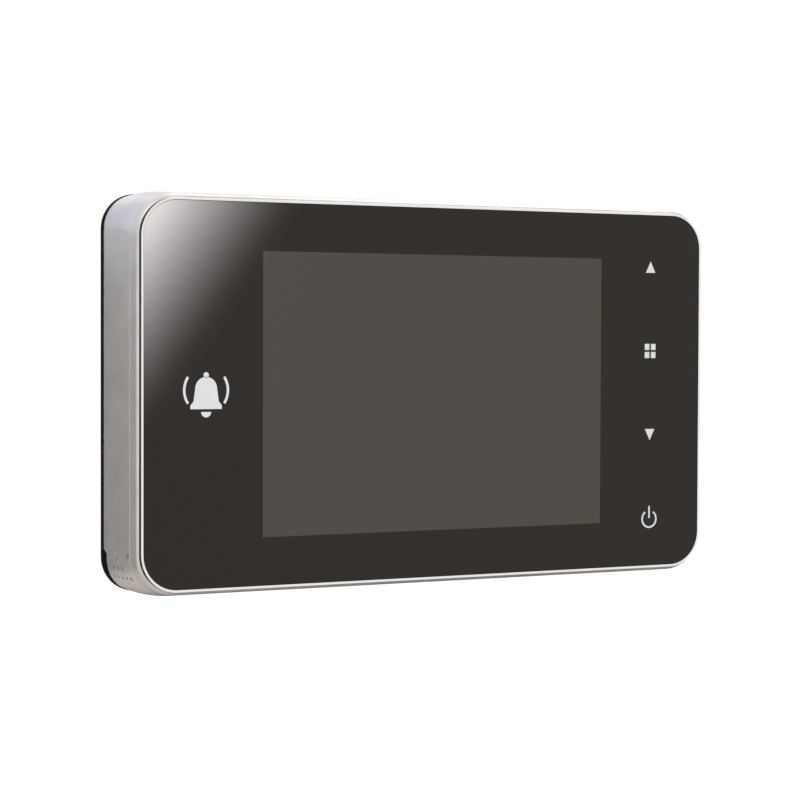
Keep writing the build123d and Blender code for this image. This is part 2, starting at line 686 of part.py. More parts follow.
# Screws: housing screws from behind, board screws from the front
with BuildPart() as housing_screws:
    with BuildSketch(view_plane(BODY_D - 0.1)):
        with GridLocations(2 * BOSS_U, 2 * BOSS_W, 2, 2):
            Circle(SCREW_HEAD_R)
    prism(BODY_D - COUNTERBORE_D, BODY_D - 0.1)
    with BuildSketch(view_plane(BODY_D - COUNTERBORE_D)):
        with GridLocations(2 * BOSS_U, 2 * BOSS_W, 2, 2):
            Circle(SCREW_R)
    prism(SCREW_TIP, BODY_D - COUNTERBORE_D)

with BuildPart() as board_screws:
    with BuildSketch(view_plane(BOARD_FRONT)):
        with Locations(((POST_U[0] + POST_U[1]) / 2, 0)):
            with GridLocations(POST_U[1] - POST_U[0], 2 * POST_W, 2, 2):
                Circle(BOARD_SCREW_HEAD[0])
    prism(BOARD_FRONT - BOARD_SCREW_HEAD[1], BOARD_FRONT)
    with BuildSketch(view_plane(BOARD_SCREW_TIP)):
        with Locations(((POST_U[0] + POST_U[1]) / 2, 0)):
            with GridLocations(POST_U[1] - POST_U[0], 2 * POST_W, 2, 2):
                Circle(BOARD_SCREW_R)
    prism(BOARD_FRONT, BOARD_SCREW_TIP)

# Door bracket: sheet plate with four hooks bent out of it, centre hole and screw holes
with BuildPart() as door_bracket:
    with BuildSketch(door_plane(0)):
        RectangleRounded(BRACKET_W, BRACKET_H, BRACKET_R)
        Circle(BRACKET_HOLE_R, mode=Mode.SUBTRACT)
        with GridLocations(*SCREW_SPACING, 2, 2):
            Circle(SCREW_HOLE_R, mode=Mode.SUBTRACT)
        for hook_z in HOOK_Z:
            with Locations((-HOOK_X, hook_z - SHEET - HOOK_WINDOW / 2),
                           (HOOK_X, hook_z - SHEET - HOOK_WINDOW / 2)):
                Rectangle(HOOK_WIDTH + 0.8, HOOK_WINDOW, mode=Mode.SUBTRACT)
    extrude(amount=SHEET)
    for hook_x in (-HOOK_X, HOOK_X):
        for hook_z in HOOK_Z:
            with BuildSketch(Plane(origin=(hook_x - HOOK_WIDTH / 2, 0, hook_z), x_dir=(0, 1, 0),
                                   z_dir=(1, 0, 0))):
                with BuildLine():
                    Polyline(
                        (-SHEET, 0),
                        (SHEET - HOOK_REACH, 0),
                        (SHEET - HOOK_REACH, HOOK_RISE),
                        (-HOOK_REACH, HOOK_RISE),
                        (-HOOK_REACH, -SHEET),
                        (-SHEET, -SHEET),
                        close=True,
                    )
                make_face()
            extrude(amount=HOOK_WIDTH)

# Clamp sleeve: flanged tube with a coin slot, turned from inside the room
with BuildPart() as clamp_sleeve:
    turned([
        (BARREL_R + THREAD_GAP, -SHEET - FLANGE_T),
        (FLANGE_R - 0.3, -SHEET - FLANGE_T),
        (FLANGE_R, -SHEET - FLANGE_T + 0.3),
        (FLANGE_R, -SHEET),
        (SLEEVE_R, -SHEET),
        (SLEEVE_R, SLEEVE_END),
        (BARREL_R + THREAD_GAP, SLEEVE_END),
    ])
    with BuildSketch(door_plane(-SHEET - FLANGE_T + COIN_SLOT[1])):
        Rectangle(2 * FLANGE_R + 1.0, COIN_SLOT[0])
    extrude(amount=COIN_SLOT[1], mode=Mode.SUBTRACT)

# Camera barrel: threaded tube with a collar inside the head
with BuildPart() as camera_barrel:
    turned([
        (BARREL_BORE_R, DOOR_T - BARREL_L),
        (BARREL_R - 0.3, DOOR_T - BARREL_L),
        (BARREL_R, DOOR_T - BARREL_L + 0.3),
        (BARREL_R, HEAD_BACK + PLATE_HEAD_T),
        (COLLAR_R, HEAD_BACK + PLATE_HEAD_T),
        (COLLAR_R, HEAD_BACK + PLATE_HEAD_T + COLLAR_T),
        (BARREL_BORE_R, HEAD_BACK + PLATE_HEAD_T + COLLAR_T),
    ])

# Rubber gasket between head and door
with BuildPart() as head_gasket:
    with BuildSketch(door_plane(HEAD_BACK)):
        oblong(GASKET_INSET)
        Circle(BARREL_R + 0.4, mode=Mode.SUBTRACT)
    extrude(amount=GASKET_T)

# Plate that closes the head from behind
with BuildPart() as head_plate:
    with BuildSketch(door_plane(HEAD_BACK + PLATE_HEAD_T)):
        oblong(HEAD_WALL + 0.1)
        Circle(BARREL_R + 0.05, mode=Mode.SUBTRACT)
        with Locations((-CAM_POST[0], CAM_POST[1]), CAM_POST):
            Circle(HEAD_SCREW_R + 0.2, mode=Mode.SUBTRACT)
    extrude(amount=PLATE_HEAD_T)
    with BuildSketch(door_plane(HEAD_BACK + HEAD_SCREW_SINK)):
        with Locations((-CAM_POST[0], CAM_POST[1]), CAM_POST):
            Circle(HEAD_SCREW_HEAD_R + 0.2)
    extrude(amount=HEAD_SCREW_SINK, mode=Mode.SUBTRACT)

# Head shell: cast oblong with tapered sides, rounded front edge and stepped posts inside
with BuildPart() as head_shell:
    with BuildSketch(door_plane(HEAD_BACK)):
        oblong(0.0)
    extrude(amount=-HEAD_D, taper=HEAD_TAPER)
    fillet(head_shell.faces().sort_by(Axis.Y)[-1].edges(), HEAD_EDGE_R)
    with BuildSketch(door_plane(HEAD_BACK)):
        oblong(HEAD_WALL)
    extrude(amount=-(HEAD_D - HEAD_WALL), mode=Mode.SUBTRACT)
    with BuildSketch(door_plane(CAM_BOARD_Y[1])):
        with Locations((-CAM_POST[0], CAM_POST[1]), CAM_POST):
            Circle(HEAD_POST_R[0])
    extrude(amount=-(HEAD_FRONT - HEAD_WALL - CAM_BOARD_Y[1]))
    with BuildSketch(door_plane(HEAD_BACK + PLATE_HEAD_T)):
        with Locations((-CAM_POST[0], CAM_POST[1]), CAM_POST):
            Circle(HEAD_POST_R[1])
    extrude(amount=-(CAM_BOARD_Y[1] - HEAD_BACK - PLATE_HEAD_T))
    with BuildSketch(door_plane(HEAD_BACK + PLATE_HEAD_T)):
        with Locations((-CAM_POST[0], CAM_POST[1]), CAM_POST):
            Circle(HEAD_PILOT[0])
    extrude(amount=-HEAD_PILOT[1], mode=Mode.SUBTRACT)
    street_disc(WINDOW_R - 1.4, HEAD_FRONT - HEAD_WALL - 1.0, HEAD_FRONT, mode=Mode.SUBTRACT)
    street_disc(WINDOW_R + 0.1, HEAD_FRONT - WINDOW_T - 0.1, HEAD_FRONT, mode=Mode.SUBTRACT)
    street_disc(BELL_R + 0.1, HEAD_FRONT - HEAD_WALL - 1.0, HEAD_FRONT, BELL_Z, mode=Mode.SUBTRACT)

# Camera board on the shell's posts
with BuildPart() as camera_board:
    with BuildSketch(door_plane(CAM_BOARD_Y[1])):
        oblong(4.0)
        with Locations((-CAM_POST[0], CAM_POST[1]), CAM_POST):
            Circle(HEAD_POST_R[1] + 0.1, mode=Mode.SUBTRACT)
    extrude(amount=CAM_BOARD_Y[1] - CAM_BOARD_Y[0])

# Lens holder and lens
with BuildPart() as lens_holder:
    with BuildSketch(street_plane(CAM_BOARD_Y[1])):
        RectangleRounded(HOLDER, HOLDER, 1.0)
    extrude(amount=HOLDER_T)
    street_disc(TUBE_R, CAM_BOARD_Y[1] + HOLDER_T, CAM_BOARD_Y[1] + HOLDER_T + TUBE_L)
    street_disc(LENS_R + 0.05, CAM_BOARD_Y[1] + LENS_SEAT, CAM_BOARD_Y[1] + HOLDER_T + TUBE_L,
                mode=Mode.SUBTRACT)

with BuildPart() as lens:
    street_disc(LENS_R, CAM_BOARD_Y[1] + LENS_SEAT, CAM_BOARD_Y[1] + LENS_SEAT + LENS_T)
    chamfer(lens.faces().sort_by(Axis.Y)[-1].edges(), 0.4, 1.2)

# Clear window over the lens, and the bright ring that holds it
with BuildPart() as lens_window:
    street_disc(WINDOW_R, HEAD_FRONT - WINDOW_T - 0.1, HEAD_FRONT - 0.1)

with BuildPart() as lens_ring:
    turned([
        (WINDOW_R - 0.9, HEAD_FRONT),
        (RING_R, HEAD_FRONT),
        (RING_R, HEAD_FRONT + 0.6),
        (RING_R - 1.0, HEAD_FRONT + RING_T),
        (WINDOW_R + 0.6, HEAD_FRONT + RING_T),
        (WINDOW_R - 0.9, HEAD_FRONT + 0.5),
    ])

# Bell button: hollow cap with a flange that keeps it in, and a stem on the switch
BELL_INNER = HEAD_FRONT - HEAD_WALL - 0.5
with BuildPart() as bell_button:
    street_disc(BELL_R, BELL_INNER - 1.0, HEAD_FRONT + BELL_PROUD, BELL_Z)
    chamfer(bell_button.faces().sort_by(Axis.Y)[-1].edges(), BELL_EDGE)
    street_disc(BELL_R + BELL_FLANGE, BELL_INNER - 1.0, BELL_INNER, BELL_Z)
    street_disc(BELL_R - BELL_WALL, BELL_INNER - 1.0, HEAD_FRONT, BELL_Z, mode=Mode.SUBTRACT)
    street_disc(BELL_STEM_R, BELL_INNER - 1.0, HEAD_FRONT, BELL_Z)

with BuildPart() as button_ring:
    street_disc(BELL_RING_R, HEAD_FRONT, HEAD_FRONT + BELL_RING_T, BELL_Z)
    chamfer(button_ring.faces().sort_by(Axis.Y)[-1].edges(), BELL_EDGE)
    street_disc(BELL_R + 0.3, HEAD_FRONT, HEAD_FRONT + BELL_RING_T, BELL_Z, mode=Mode.SUBTRACT)

# Bell switch and its plunger
with BuildPart() as bell_switch:
    with BuildSketch(street_plane(CAM_BOARD_Y[1], BELL_Z)):
        Rectangle(SWITCH[0], SWITCH[0])
    extrude(amount=SWITCH[1])
    street_disc(PLUNGER_R + 0.05, CAM_BOARD_Y[1] + 0.2, CAM_BOARD_Y[1] + SWITCH[1], BELL_Z, mode=Mode.SUBTRACT)

with BuildPart() as switch_plunger:
    street_disc(PLUNGER_R, CAM_BOARD_Y[1] + 0.3 + BELL_TRAVEL, BELL_INNER - 1.0, BELL_Z)

# Screws that hold the head together from behind
with BuildPart() as head_screws:
    with BuildSketch(door_plane(HEAD_BACK + HEAD_SCREW_SINK)):
        with Locations((-CAM_POST[0], CAM_POST[1]), CAM_POST):
            Circle(HEAD_SCREW_HEAD_R)
    extrude(amount=HEAD_SCREW_SINK - 0.1)
    with BuildSketch(door_plane(HEAD_BACK + HEAD_SCREW_SINK)):
        with Locations((-CAM_POST[0], CAM_POST[1]), CAM_POST):
            Circle(HEAD_SCREW_R)
    extrude(amount=-HEAD_SCREW_L)

NODES = {
    "front_glass": front_glass,
    "chrome_trim": chrome_trim,
    "front_frame": front_frame,
    "main_housing": main_housing,
    "rear_cover": rear_cover,
    "battery_cover": battery_cover,
    "contacts_left": contacts_left,
    "contacts_right": contacts_right,
    "display_panel": display_panel,
    "backlight_unit": backlight_unit,
    "touch_key_board": touch_key_board,
    "main_board": main_board,
    "processor_shield": processor_shield,
    "ribbon_socket": ribbon_socket,
    "usb_socket": usb_socket,
    "card_socket": card_socket,
    "memory_card": memory_card,
    "speaker": speaker,
    "speaker_gasket": speaker_gasket,
    "housing_screws": housing_screws,
    "board_screws": board_screws,
    "door_bracket": door_bracket,
    "clamp_sleeve": clamp_sleeve,
    "camera_barrel": camera_barrel,
    "head_gasket": head_gasket,
    "head_plate": head_plate,
    "head_shell": head_shell,
    "camera_board": camera_board,
    "lens_holder": lens_holder,
    "lens": lens,
    "lens_window": lens_window,
    "lens_ring": lens_ring,
    "bell_button": bell_button,
    "button_ring": button_ring,
    "bell_switch": bell_switch,
    "switch_plunger": switch_plunger,
    "head_screws": head_screws,
}

for label, piece in NODES.items():
    piece.part.label = label
    export_step(piece.part, f"parts/{label}.step")
for cell_part in cells:
    export_step(cell_part, f"parts/{cell_part.label}.step")
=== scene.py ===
import logging
import math
from dataclasses import dataclass, field
from enum import Enum

import bmesh
import bpy
from mathutils import Matrix, Vector


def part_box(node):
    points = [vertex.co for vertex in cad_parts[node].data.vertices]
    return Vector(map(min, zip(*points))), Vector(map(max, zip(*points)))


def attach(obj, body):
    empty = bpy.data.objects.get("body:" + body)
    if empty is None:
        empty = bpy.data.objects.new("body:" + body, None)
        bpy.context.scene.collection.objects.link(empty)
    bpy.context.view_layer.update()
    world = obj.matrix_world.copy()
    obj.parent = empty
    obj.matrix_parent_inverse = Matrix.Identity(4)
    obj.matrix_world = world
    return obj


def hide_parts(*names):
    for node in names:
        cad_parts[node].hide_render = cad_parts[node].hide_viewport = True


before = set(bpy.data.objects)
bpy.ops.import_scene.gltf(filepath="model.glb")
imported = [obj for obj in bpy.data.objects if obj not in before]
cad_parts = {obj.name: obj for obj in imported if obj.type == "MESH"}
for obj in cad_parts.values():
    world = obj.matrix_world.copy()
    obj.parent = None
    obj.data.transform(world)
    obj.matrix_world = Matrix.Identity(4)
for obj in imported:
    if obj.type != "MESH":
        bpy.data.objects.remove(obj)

log = logging.getLogger("door_camera")
logging.basicConfig(level=logging.INFO, format="%(name)s %(message)s")

Colour = tuple[float, float, float]
Point = tuple[float, float, float]
Pair = tuple[float, float]
Socket = bpy.types.NodeSocket

WHITE: Colour = (1.0, 1.0, 1.0)
MONITOR_MIDDLE = -0.029
COAT_ROUGHNESS = 0.08
GRAIN_SWING = 0.12
NOISE_BAND: Pair = (0.3, 0.7)
MERGE_DISTANCE = 1e-7
SHARP_ANGLE = math.radians(38)
ARC_STEP = 8.0
QUARTERS = ((-1, -1), (-1, 1), (1, -1), (1, 1))


class Body(Enum):
    """The record's bodies that the pieces made here ride on."""

    MONITOR = "monitor"
    HEAD = "outdoor_head"
    BELL = "bell"
    COVER = "battery_cover"
    CARD = "memory_card"


class Axis(Enum):
    """The axis that a profile is turned about."""

    X = (1.0, 0.0, 0.0)
    Y = (0.0, 1.0, 0.0)


class Tree:
    """The node tree of a material or of the world, with short calls for the nodes used here."""

    def __init__(self, owner: bpy.types.ID, output: str = "OutputMaterial") -> None:
        """Start with the output alone.

        Args:
            owner: the new material or world.
            output: the output node's type.
        """
        owner.use_nodes = True
        self.owner = owner
        self.nodes = owner.node_tree.nodes
        self.nodes.clear()
        self.surface = self.nodes.new("ShaderNode" + output).inputs["Surface"]

    def feed(self, target: Socket, value: object) -> None:
        """Give an input its value.

        Args:
            target: the input.
            value: a socket to join it to, a colour, a vector or a number.
        """
        if isinstance(value, Socket):
            self.owner.node_tree.links.new(value, target)
        elif target.type == "RGBA":
            target.default_value = (*value, 1.0)
        else:
            target.default_value = value

    def add(self, kind: str, inputs: dict[int | str, object], output: int | str = 0,
            **settings: str) -> Socket:
        """Add a node.

        Args:
            kind: the node's type.
            inputs: what its inputs get, by name or place.
            output: the output that is wanted.
            settings: the node's own settings.

        Returns:
            The output's socket.
        """
        node = self.nodes.new("ShaderNode" + kind)
        for name, value in settings.items():
            setattr(node, name, value)
        for key, value in inputs.items():
            self.feed(node.inputs[key], value)
        return node.outputs[output]

    def mapped(self, shift: Point = (0, 0, 0), scale: Point = (1, 1, 1)) -> Socket:
        """Object coordinates after a shift in metres and a factor along each axis."""
        place = self.add("TexCoord", {}, "Object")
        return self.add("Mapping", {"Vector": place, "Location": shift, "Scale": scale})

    def axes(self, shift: Point = (0, 0, 0)) -> tuple[Socket, ...]:
        """Object coordinates after a shift.

        Args:
            shift: what is added to the place, in metres.

        Returns:
            The sockets of the three coordinates.
        """
        node = self.nodes.new("ShaderNodeSeparateXYZ")
        self.feed(node.inputs[0], self.mapped(shift))
        return tuple(node.outputs)

    def noise(self, size: float, detail: float = 3.0, stretch: Point = (1, 1, 1)) -> Socket:
        """Soft noise of a real size.

        Args:
            size: the width of its patches in metres.
            detail: how many finer layers it has.
            stretch: the factor along each axis.

        Returns:
            The noise's value socket.
        """
        place = self.mapped(scale=stretch)
        return self.add("TexNoise", {"Vector": place, "Scale": 1.0 / size, "Detail": detail}, "Fac")

    def math(self, operation: str, first: object, second: object = 0.0) -> Socket:
        """One step of arithmetic on sockets or numbers."""
        return self.add("Math", {0: first, 1: second}, operation=operation)

    def blend(self, share: Socket, first: object, second: object) -> Socket:
        """Mix two colours or colour sockets, with the second's share."""
        return self.add("Mix", {0: share, 6: first, 7: second}, 2, data_type="RGBA")

    def spread(self, value: Socket, low: float, high: float, band: Pair = NOISE_BAND) -> Socket:
        """Map a value from one band to another.

        Args:
            value: the value's socket.
            low: the result where the band starts.
            high: the result where the band ends.
            band: where the band starts and ends, by default noise's usual middle.

        Returns:
            The mapped socket.
        """
        return self.add("MapRange", {"Value": value, "From Min": band[0], "From Max": band[1],
                                     "To Min": low, "To Max": high}, "Result")

    def relief(self, height: Socket, depth: float) -> Socket:
        """The normal of a bump of a real depth, from a height of 0 to 1."""
        return self.add("Bump", {"Height": height, "Distance": depth}, "Normal")

    def glow(self, strength: object, colour: Colour = WHITE) -> Socket:
        """An emission shader whose strength is a number or a socket."""
        return self.add("Emission", {"Color": colour, "Strength": strength})

    def seen_by(self, *rays: str) -> Socket:
        """Tell some kinds of rays from the others.

        Args:
            rays: the kinds, such as Camera.

        Returns:
            A socket that is 1 for these rays and 0 for others.
        """
        path = self.nodes.new("ShaderNodeLightPath")
        seen = path.outputs[f"Is {rays[0]} Ray"]
        for ray in rays[1:]:
            seen = self.math("MAXIMUM", seen, path.outputs[f"Is {ray} Ray"])
        return seen


@dataclass(frozen=True)
class Finish:
    """How a surface looks: its colour and gloss, and the grain that breaks them up."""

    name: str
    colour: Colour
    roughness: float
    metallic: float = 0.0
    variation: float = 0.06
    patch: float = 0.006
    grain: float = 0.0003
    stretch: Point = (1.0, 1.0, 1.0)
    relief: float = 0.0
    coat: float = 0.0
    ior: float = 1.5
    transmission: float = 0.0

    def tint(self, tree: Tree) -> Socket:
        """The finish's colour with slow, faint patches.

        Args:
            tree: the material's node tree.

        Returns:
            The base colour's socket.
        """
        share = tree.spread(tree.noise(self.patch, 2.0), 0.0, 1.0)
        darker = tuple(channel * (1 - self.variation) for channel in self.colour)
        lighter = tuple(min(1.0, channel * (1 + self.variation)) for channel in self.colour)
        return tree.blend(share, darker, lighter)

    def material(self) -> bpy.types.Material:
        """The finish as a node material, made once.

        Returns:
            The material.
        """
        made = bpy.data.materials.get(self.name)
        if made is None:
            made = bpy.data.materials.new(self.name)
            tree = Tree(made)
            grain = tree.noise(self.grain, stretch=self.stretch)
            smoother = self.roughness * (1 - GRAIN_SWING)
            rougher = min(1.0, self.roughness * (1 + GRAIN_SWING))
            inputs = {"Base Color": self.tint(tree), "Roughness": tree.spread(grain, smoother, rougher),
                      "Metallic": self.metallic, "IOR": self.ior, "Coat Weight": self.coat,
                      "Coat Roughness": COAT_ROUGHNESS, "Transmission Weight": self.transmission}
            if self.relief:
                inputs["Normal"] = tree.relief(grain, self.relief)
            tree.feed(tree.surface, tree.add("BsdfPrincipled", inputs))
        return made


@dataclass(frozen=True)
class PrintedGlass(Finish):
    """Polished glass over a black print that leaves a window for the screen."""

    window: Pair = (0.042, 0.030)
    screen: Colour = (0.0717, 0.0597, 0.0457)

    def tint(self, tree: Tree) -> Socket:
        """The print's colour, and the dark screen's inside its window.

        Args:
            tree: the material's node tree.

        Returns:
            The base colour's socket.
        """
        x, _, z = tree.axes((-MONITOR_MIDDLE, 0.0, 0.0))
        across = tree.math("LESS_THAN", tree.math("ABSOLUTE", x), self.window[0])
        upright = tree.math("LESS_THAN", tree.math("ABSOLUTE", z), self.window[1])
        return tree.blend(tree.math("MULTIPLY", across, upright), self.colour, self.screen)


GLASS = PrintedGlass("printed_glass", (0.0110, 0.0055, 0.0018), 0.045, grain=0.002, ior=1.37)
TRIM = Finish("bright_trim", (0.80, 0.80, 0.80), 0.14, metallic=1.0, variation=0.02)
SILVER = Finish("silver_paint", (0.60, 0.537, 0.470), 0.38, metallic=0.55, grain=0.00012, relief=1.5e-6)
BLACK = Finish("black_moulding", (0.008, 0.007, 0.006), 0.6, grain=0.00035, relief=1e-5, ior=1.18)
ZINC = Finish("zinc_plate", (0.60, 0.61, 0.62), 0.32, metallic=1.0, patch=0.004, grain=0.0012, relief=6e-7)
STEEL = Finish("screw_steel", (0.52, 0.52, 0.50), 0.28, metallic=1.0)
SPRING = Finish("contact_nickel", (0.70, 0.68, 0.63), 0.24, metallic=1.0)
BRASS = Finish("turned_brass", (0.74, 0.60, 0.32), 0.25, metallic=1.0, stretch=(1.0, 6.0, 1.0), relief=2e-6)
ANODISED = Finish("dark_anodised", (0.07, 0.07, 0.075), 0.34, metallic=0.9, relief=2e-6)
RUBBER = Finish("soft_rubber", (0.018, 0.018, 0.018), 0.7, relief=1e-5)
CASTING = Finish("painted_casting", (0.40, 0.385, 0.37), 0.4, metallic=0.6, grain=0.00015, relief=3e-6)
BOARD = Finish("solder_mask", (0.012, 0.09, 0.04), 0.32, patch=0.004, coat=0.4)
SOCKET = Finish("socket_moulding", (0.02, 0.02, 0.021), 0.45, relief=4e-6)
CARD_SHELL = Finish("card_moulding", (0.014, 0.014, 0.016), 0.4, relief=4e-6)
WHITE_TRAY = Finish("backlight_tray", (0.8, 0.8, 0.78), 0.5)
PANEL = Finish("dark_polariser", (0.03, 0.03, 0.033), 0.12)
LENS = Finish("coated_lens", (0.008, 0.006, 0.02), 0.03, coat=1.0, ior=1.6, variation=0.2, patch=0.004,
              grain=0.004)
BELL_CAP = Finish("bell_cap", (0.012, 0.012, 0.012), 0.2, coat=0.5)
NICKEL = Finish("nickel_can", (0.66, 0.65, 0.62), 0.26, metallic=1.0, stretch=(1.0, 5.0, 5.0), relief=1e-6)
WRAP = Finish("slate_sleeve", (0.045, 0.085, 0.10), 0.24, coat=0.5)
BAND = Finish("pale_band", (0.62, 0.63, 0.62), 0.28, coat=0.5, variation=0.02)
GOLD = Finish("gold_contact", (0.85, 0.62, 0.25), 0.22, metallic=1.0)
PASSIVE = Finish("ceramic_part", (0.30, 0.22, 0.15), 0.4)
CLEAR = Finish("clear_window", (0.93, 0.95, 0.95), 0.0, ior=1.46, transmission=1.0)
PRINT = Finish("white_print", (0.86, 0.86, 0.84), 0.5, variation=0.02)

DRESS = {
    GLASS: ("front_glass",),
    TRIM: ("chrome_trim", "lens_ring", "button_ring"),
    SILVER: ("front_frame", "main_housing"),
    BLACK: ("rear_cover", "battery_cover", "head_plate"),
    ZINC: ("door_bracket", "battery_1", "battery_2", "battery_3", "battery_4"),
    STEEL: ("housing_screws", "board_screws", "head_screws"),
    SPRING: ("contacts_left", "contacts_right", "processor_shield", "usb_socket", "card_socket"),
    BRASS: ("clamp_sleeve",),
    ANODISED: ("camera_barrel",),
    RUBBER: ("speaker_gasket", "head_gasket"),
    CASTING: ("head_shell",),
    BOARD: ("touch_key_board", "main_board", "camera_board"),
    SOCKET: ("ribbon_socket", "speaker", "lens_holder", "bell_switch", "switch_plunger"),
    CARD_SHELL: ("memory_card",),
    WHITE_TRAY: ("backlight_unit",),
    PANEL: ("display_panel",),
    LENS: ("lens",),
    BELL_CAP: ("bell_button",),
    CLEAR: ("lens_window",),
}


def verts_of(made: dict[str, list]) -> list[bmesh.types.BMVert]:
    """The vertices that an operator made."""
    return [item for item in made["geom"] if isinstance(item, bmesh.types.BMVert)]


def edges_of(made: dict[str, list]) -> list[bmesh.types.BMEdge]:
    """The edges that an operator made."""
    return [item for item in made["geom"] if isinstance(item, bmesh.types.BMEdge)]


def rectangle(left: float, bottom: float, wide: float, tall: float) -> list[Pair]:
    """A rectangle's corners, across and up."""
    right, top = left + wide, bottom + tall
    return [(left, bottom), (right, bottom), (right, top), (left, top)]


def linked(name: str, shape: bmesh.types.BMesh, material: bpy.types.Material) -> bpy.types.Object:
    """Turn a bmesh into an object of the scene.

    Args:
        name: the object's name.
        shape: the bmesh, which is freed.
        material: the object's material.

    Returns:
        The object.
    """
    mesh = bpy.data.meshes.new(name)
    shape.to_mesh(mesh)
    shape.free()
    mesh.materials.append(material)
    made = bpy.data.objects.new(name, mesh)
    bpy.context.scene.collection.objects.link(made)
    return made


class Shape:
    """A mesh under construction, in metres."""

    def __init__(self) -> None:
        """Start with nothing."""
        self.bm = bmesh.new()

    def plate(self, corners: list[Pair], faces: Pair) -> "Shape":
        """Add a flat plate that faces the viewer.

        Args:
            corners: the outline's points, across and up.
            faces: the places of its front and back along Y.

        Returns:
            This shape.
        """
        front, back = faces
        face = self.bm.faces.new([self.bm.verts.new((x, back, z)) for x, z in corners])
        moved = verts_of(bmesh.ops.extrude_face_region(self.bm, geom=[face]))
        bmesh.ops.translate(self.bm, verts=moved, vec=(0, front - back, 0))
        return self

    def round_plate(self, centre: Pair, radius: float, faces: Pair, points: int = 20) -> None:
        """Add a round plate that faces the viewer.

        Args:
            centre: its middle, across and up.
            radius: its radius.
            faces: the places of its front and back along Y.
            points: how many points its outline has.
        """
        turns = [2 * math.pi * i / points for i in range(points)]
        self.plate([(centre[0] + radius * math.cos(turn), centre[1] + radius * math.sin(turn))
                    for turn in turns], faces)

    def arc_bar(self, centre: Pair, radius: float, width: float, arc: Pair, faces: Pair) -> None:
        """Add a curved bar that faces the viewer.

        Args:
            centre: the arc's centre, across and up.
            radius: the middle line's radius.
            width: the bar's width.
            arc: where the arc starts and ends, in degrees from +X, turning towards +Z.
            faces: the places of its front and back along Y.
        """
        start, end = arc
        front, back = faces
        turn = math.radians(start)
        inner, outer = radius - width / 2, radius + width / 2
        face = self.bm.faces.new([
            self.bm.verts.new((centre[0] + reach * math.cos(turn), depth, centre[1] + reach * math.sin(turn)))
            for reach, depth in ((inner, back), (outer, back), (outer, front), (inner, front))])
        bmesh.ops.spin(self.bm, geom=[face], cent=(centre[0], 0, centre[1]), axis=(0, -1, 0),
                       angle=math.radians(end - start), steps=int((end - start) / ARC_STEP), use_merge=False)

    def turned(self, profile: list[Pair], centre: Point, axis: Axis, segments: int = 64) -> "Shape":
        """Turn a profile about an axis.

        Args:
            profile: pairs of a radius and a place along the axis.
            centre: the point that places are counted from.
            axis: the axis.
            segments: how many steps the turn has.

        Returns:
            This shape.
        """
        along = Vector(axis.value)
        line = [self.bm.verts.new(Vector(centre) + along * place + Vector((0, 0, radius)))
                for radius, place in profile]
        edges = [self.bm.edges.new(pair) for pair in zip(line, line[1:])]
        bmesh.ops.spin(self.bm, geom=line + edges, cent=centre, axis=axis.value,
                       angle=2 * math.pi, steps=segments, use_merge=True)
        return self

    def block(self, low: Point, high: Point, bevel: float = 0.0) -> "Shape":
        """Add a box between two corners.

        Args:
            low: its lowest corner.
            high: its highest corner.
            bevel: how much its edges are broken.

        Returns:
            This shape.
        """
        size = Vector(high) - Vector(low)
        place = Matrix.Translation((Vector(high) + Vector(low)) / 2) @ Matrix.Diagonal((*size, 1.0))
        made = bmesh.ops.create_cube(self.bm, size=1.0, matrix=place)["verts"]
        if bevel:
            edges = list({edge for vert in made for edge in vert.link_edges})
            bmesh.ops.bevel(self.bm, geom=edges, offset=bevel, offset_type="OFFSET", segments=2,
                            profile=0.5, affect="EDGES", material=-1)
        return self

    def finish(self, name: str, body: Body, finish: Finish, slot: str,
               replaces: tuple[str, ...] = (), smooth: bool = False) -> None:
        """Make the object and let it ride on its body.

        Args:
            name: the piece's name.
            body: the body that it moves with.
            finish: its finish.
            slot: the record's material slot; not used.
            replaces: the nodes that it stands for.
            smooth: whether its curved faces shade smoothly.
        """
        bmesh.ops.remove_doubles(self.bm, verts=self.bm.verts, dist=MERGE_DISTANCE)
        bmesh.ops.recalc_face_normals(self.bm, faces=self.bm.faces)
        piece = linked(name, self.bm, finish.material())
        mesh = piece.data
        if smooth:
            mesh.polygons.foreach_set("use_smooth", [True] * len(mesh.polygons))
            mesh.set_sharp_from_angle(angle=SHARP_ANGLE)
        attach(piece, body.value)
        if replaces:
            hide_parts(*replaces)
        log.info("%s: %d faces on %s", name, len(mesh.polygons), body.value)


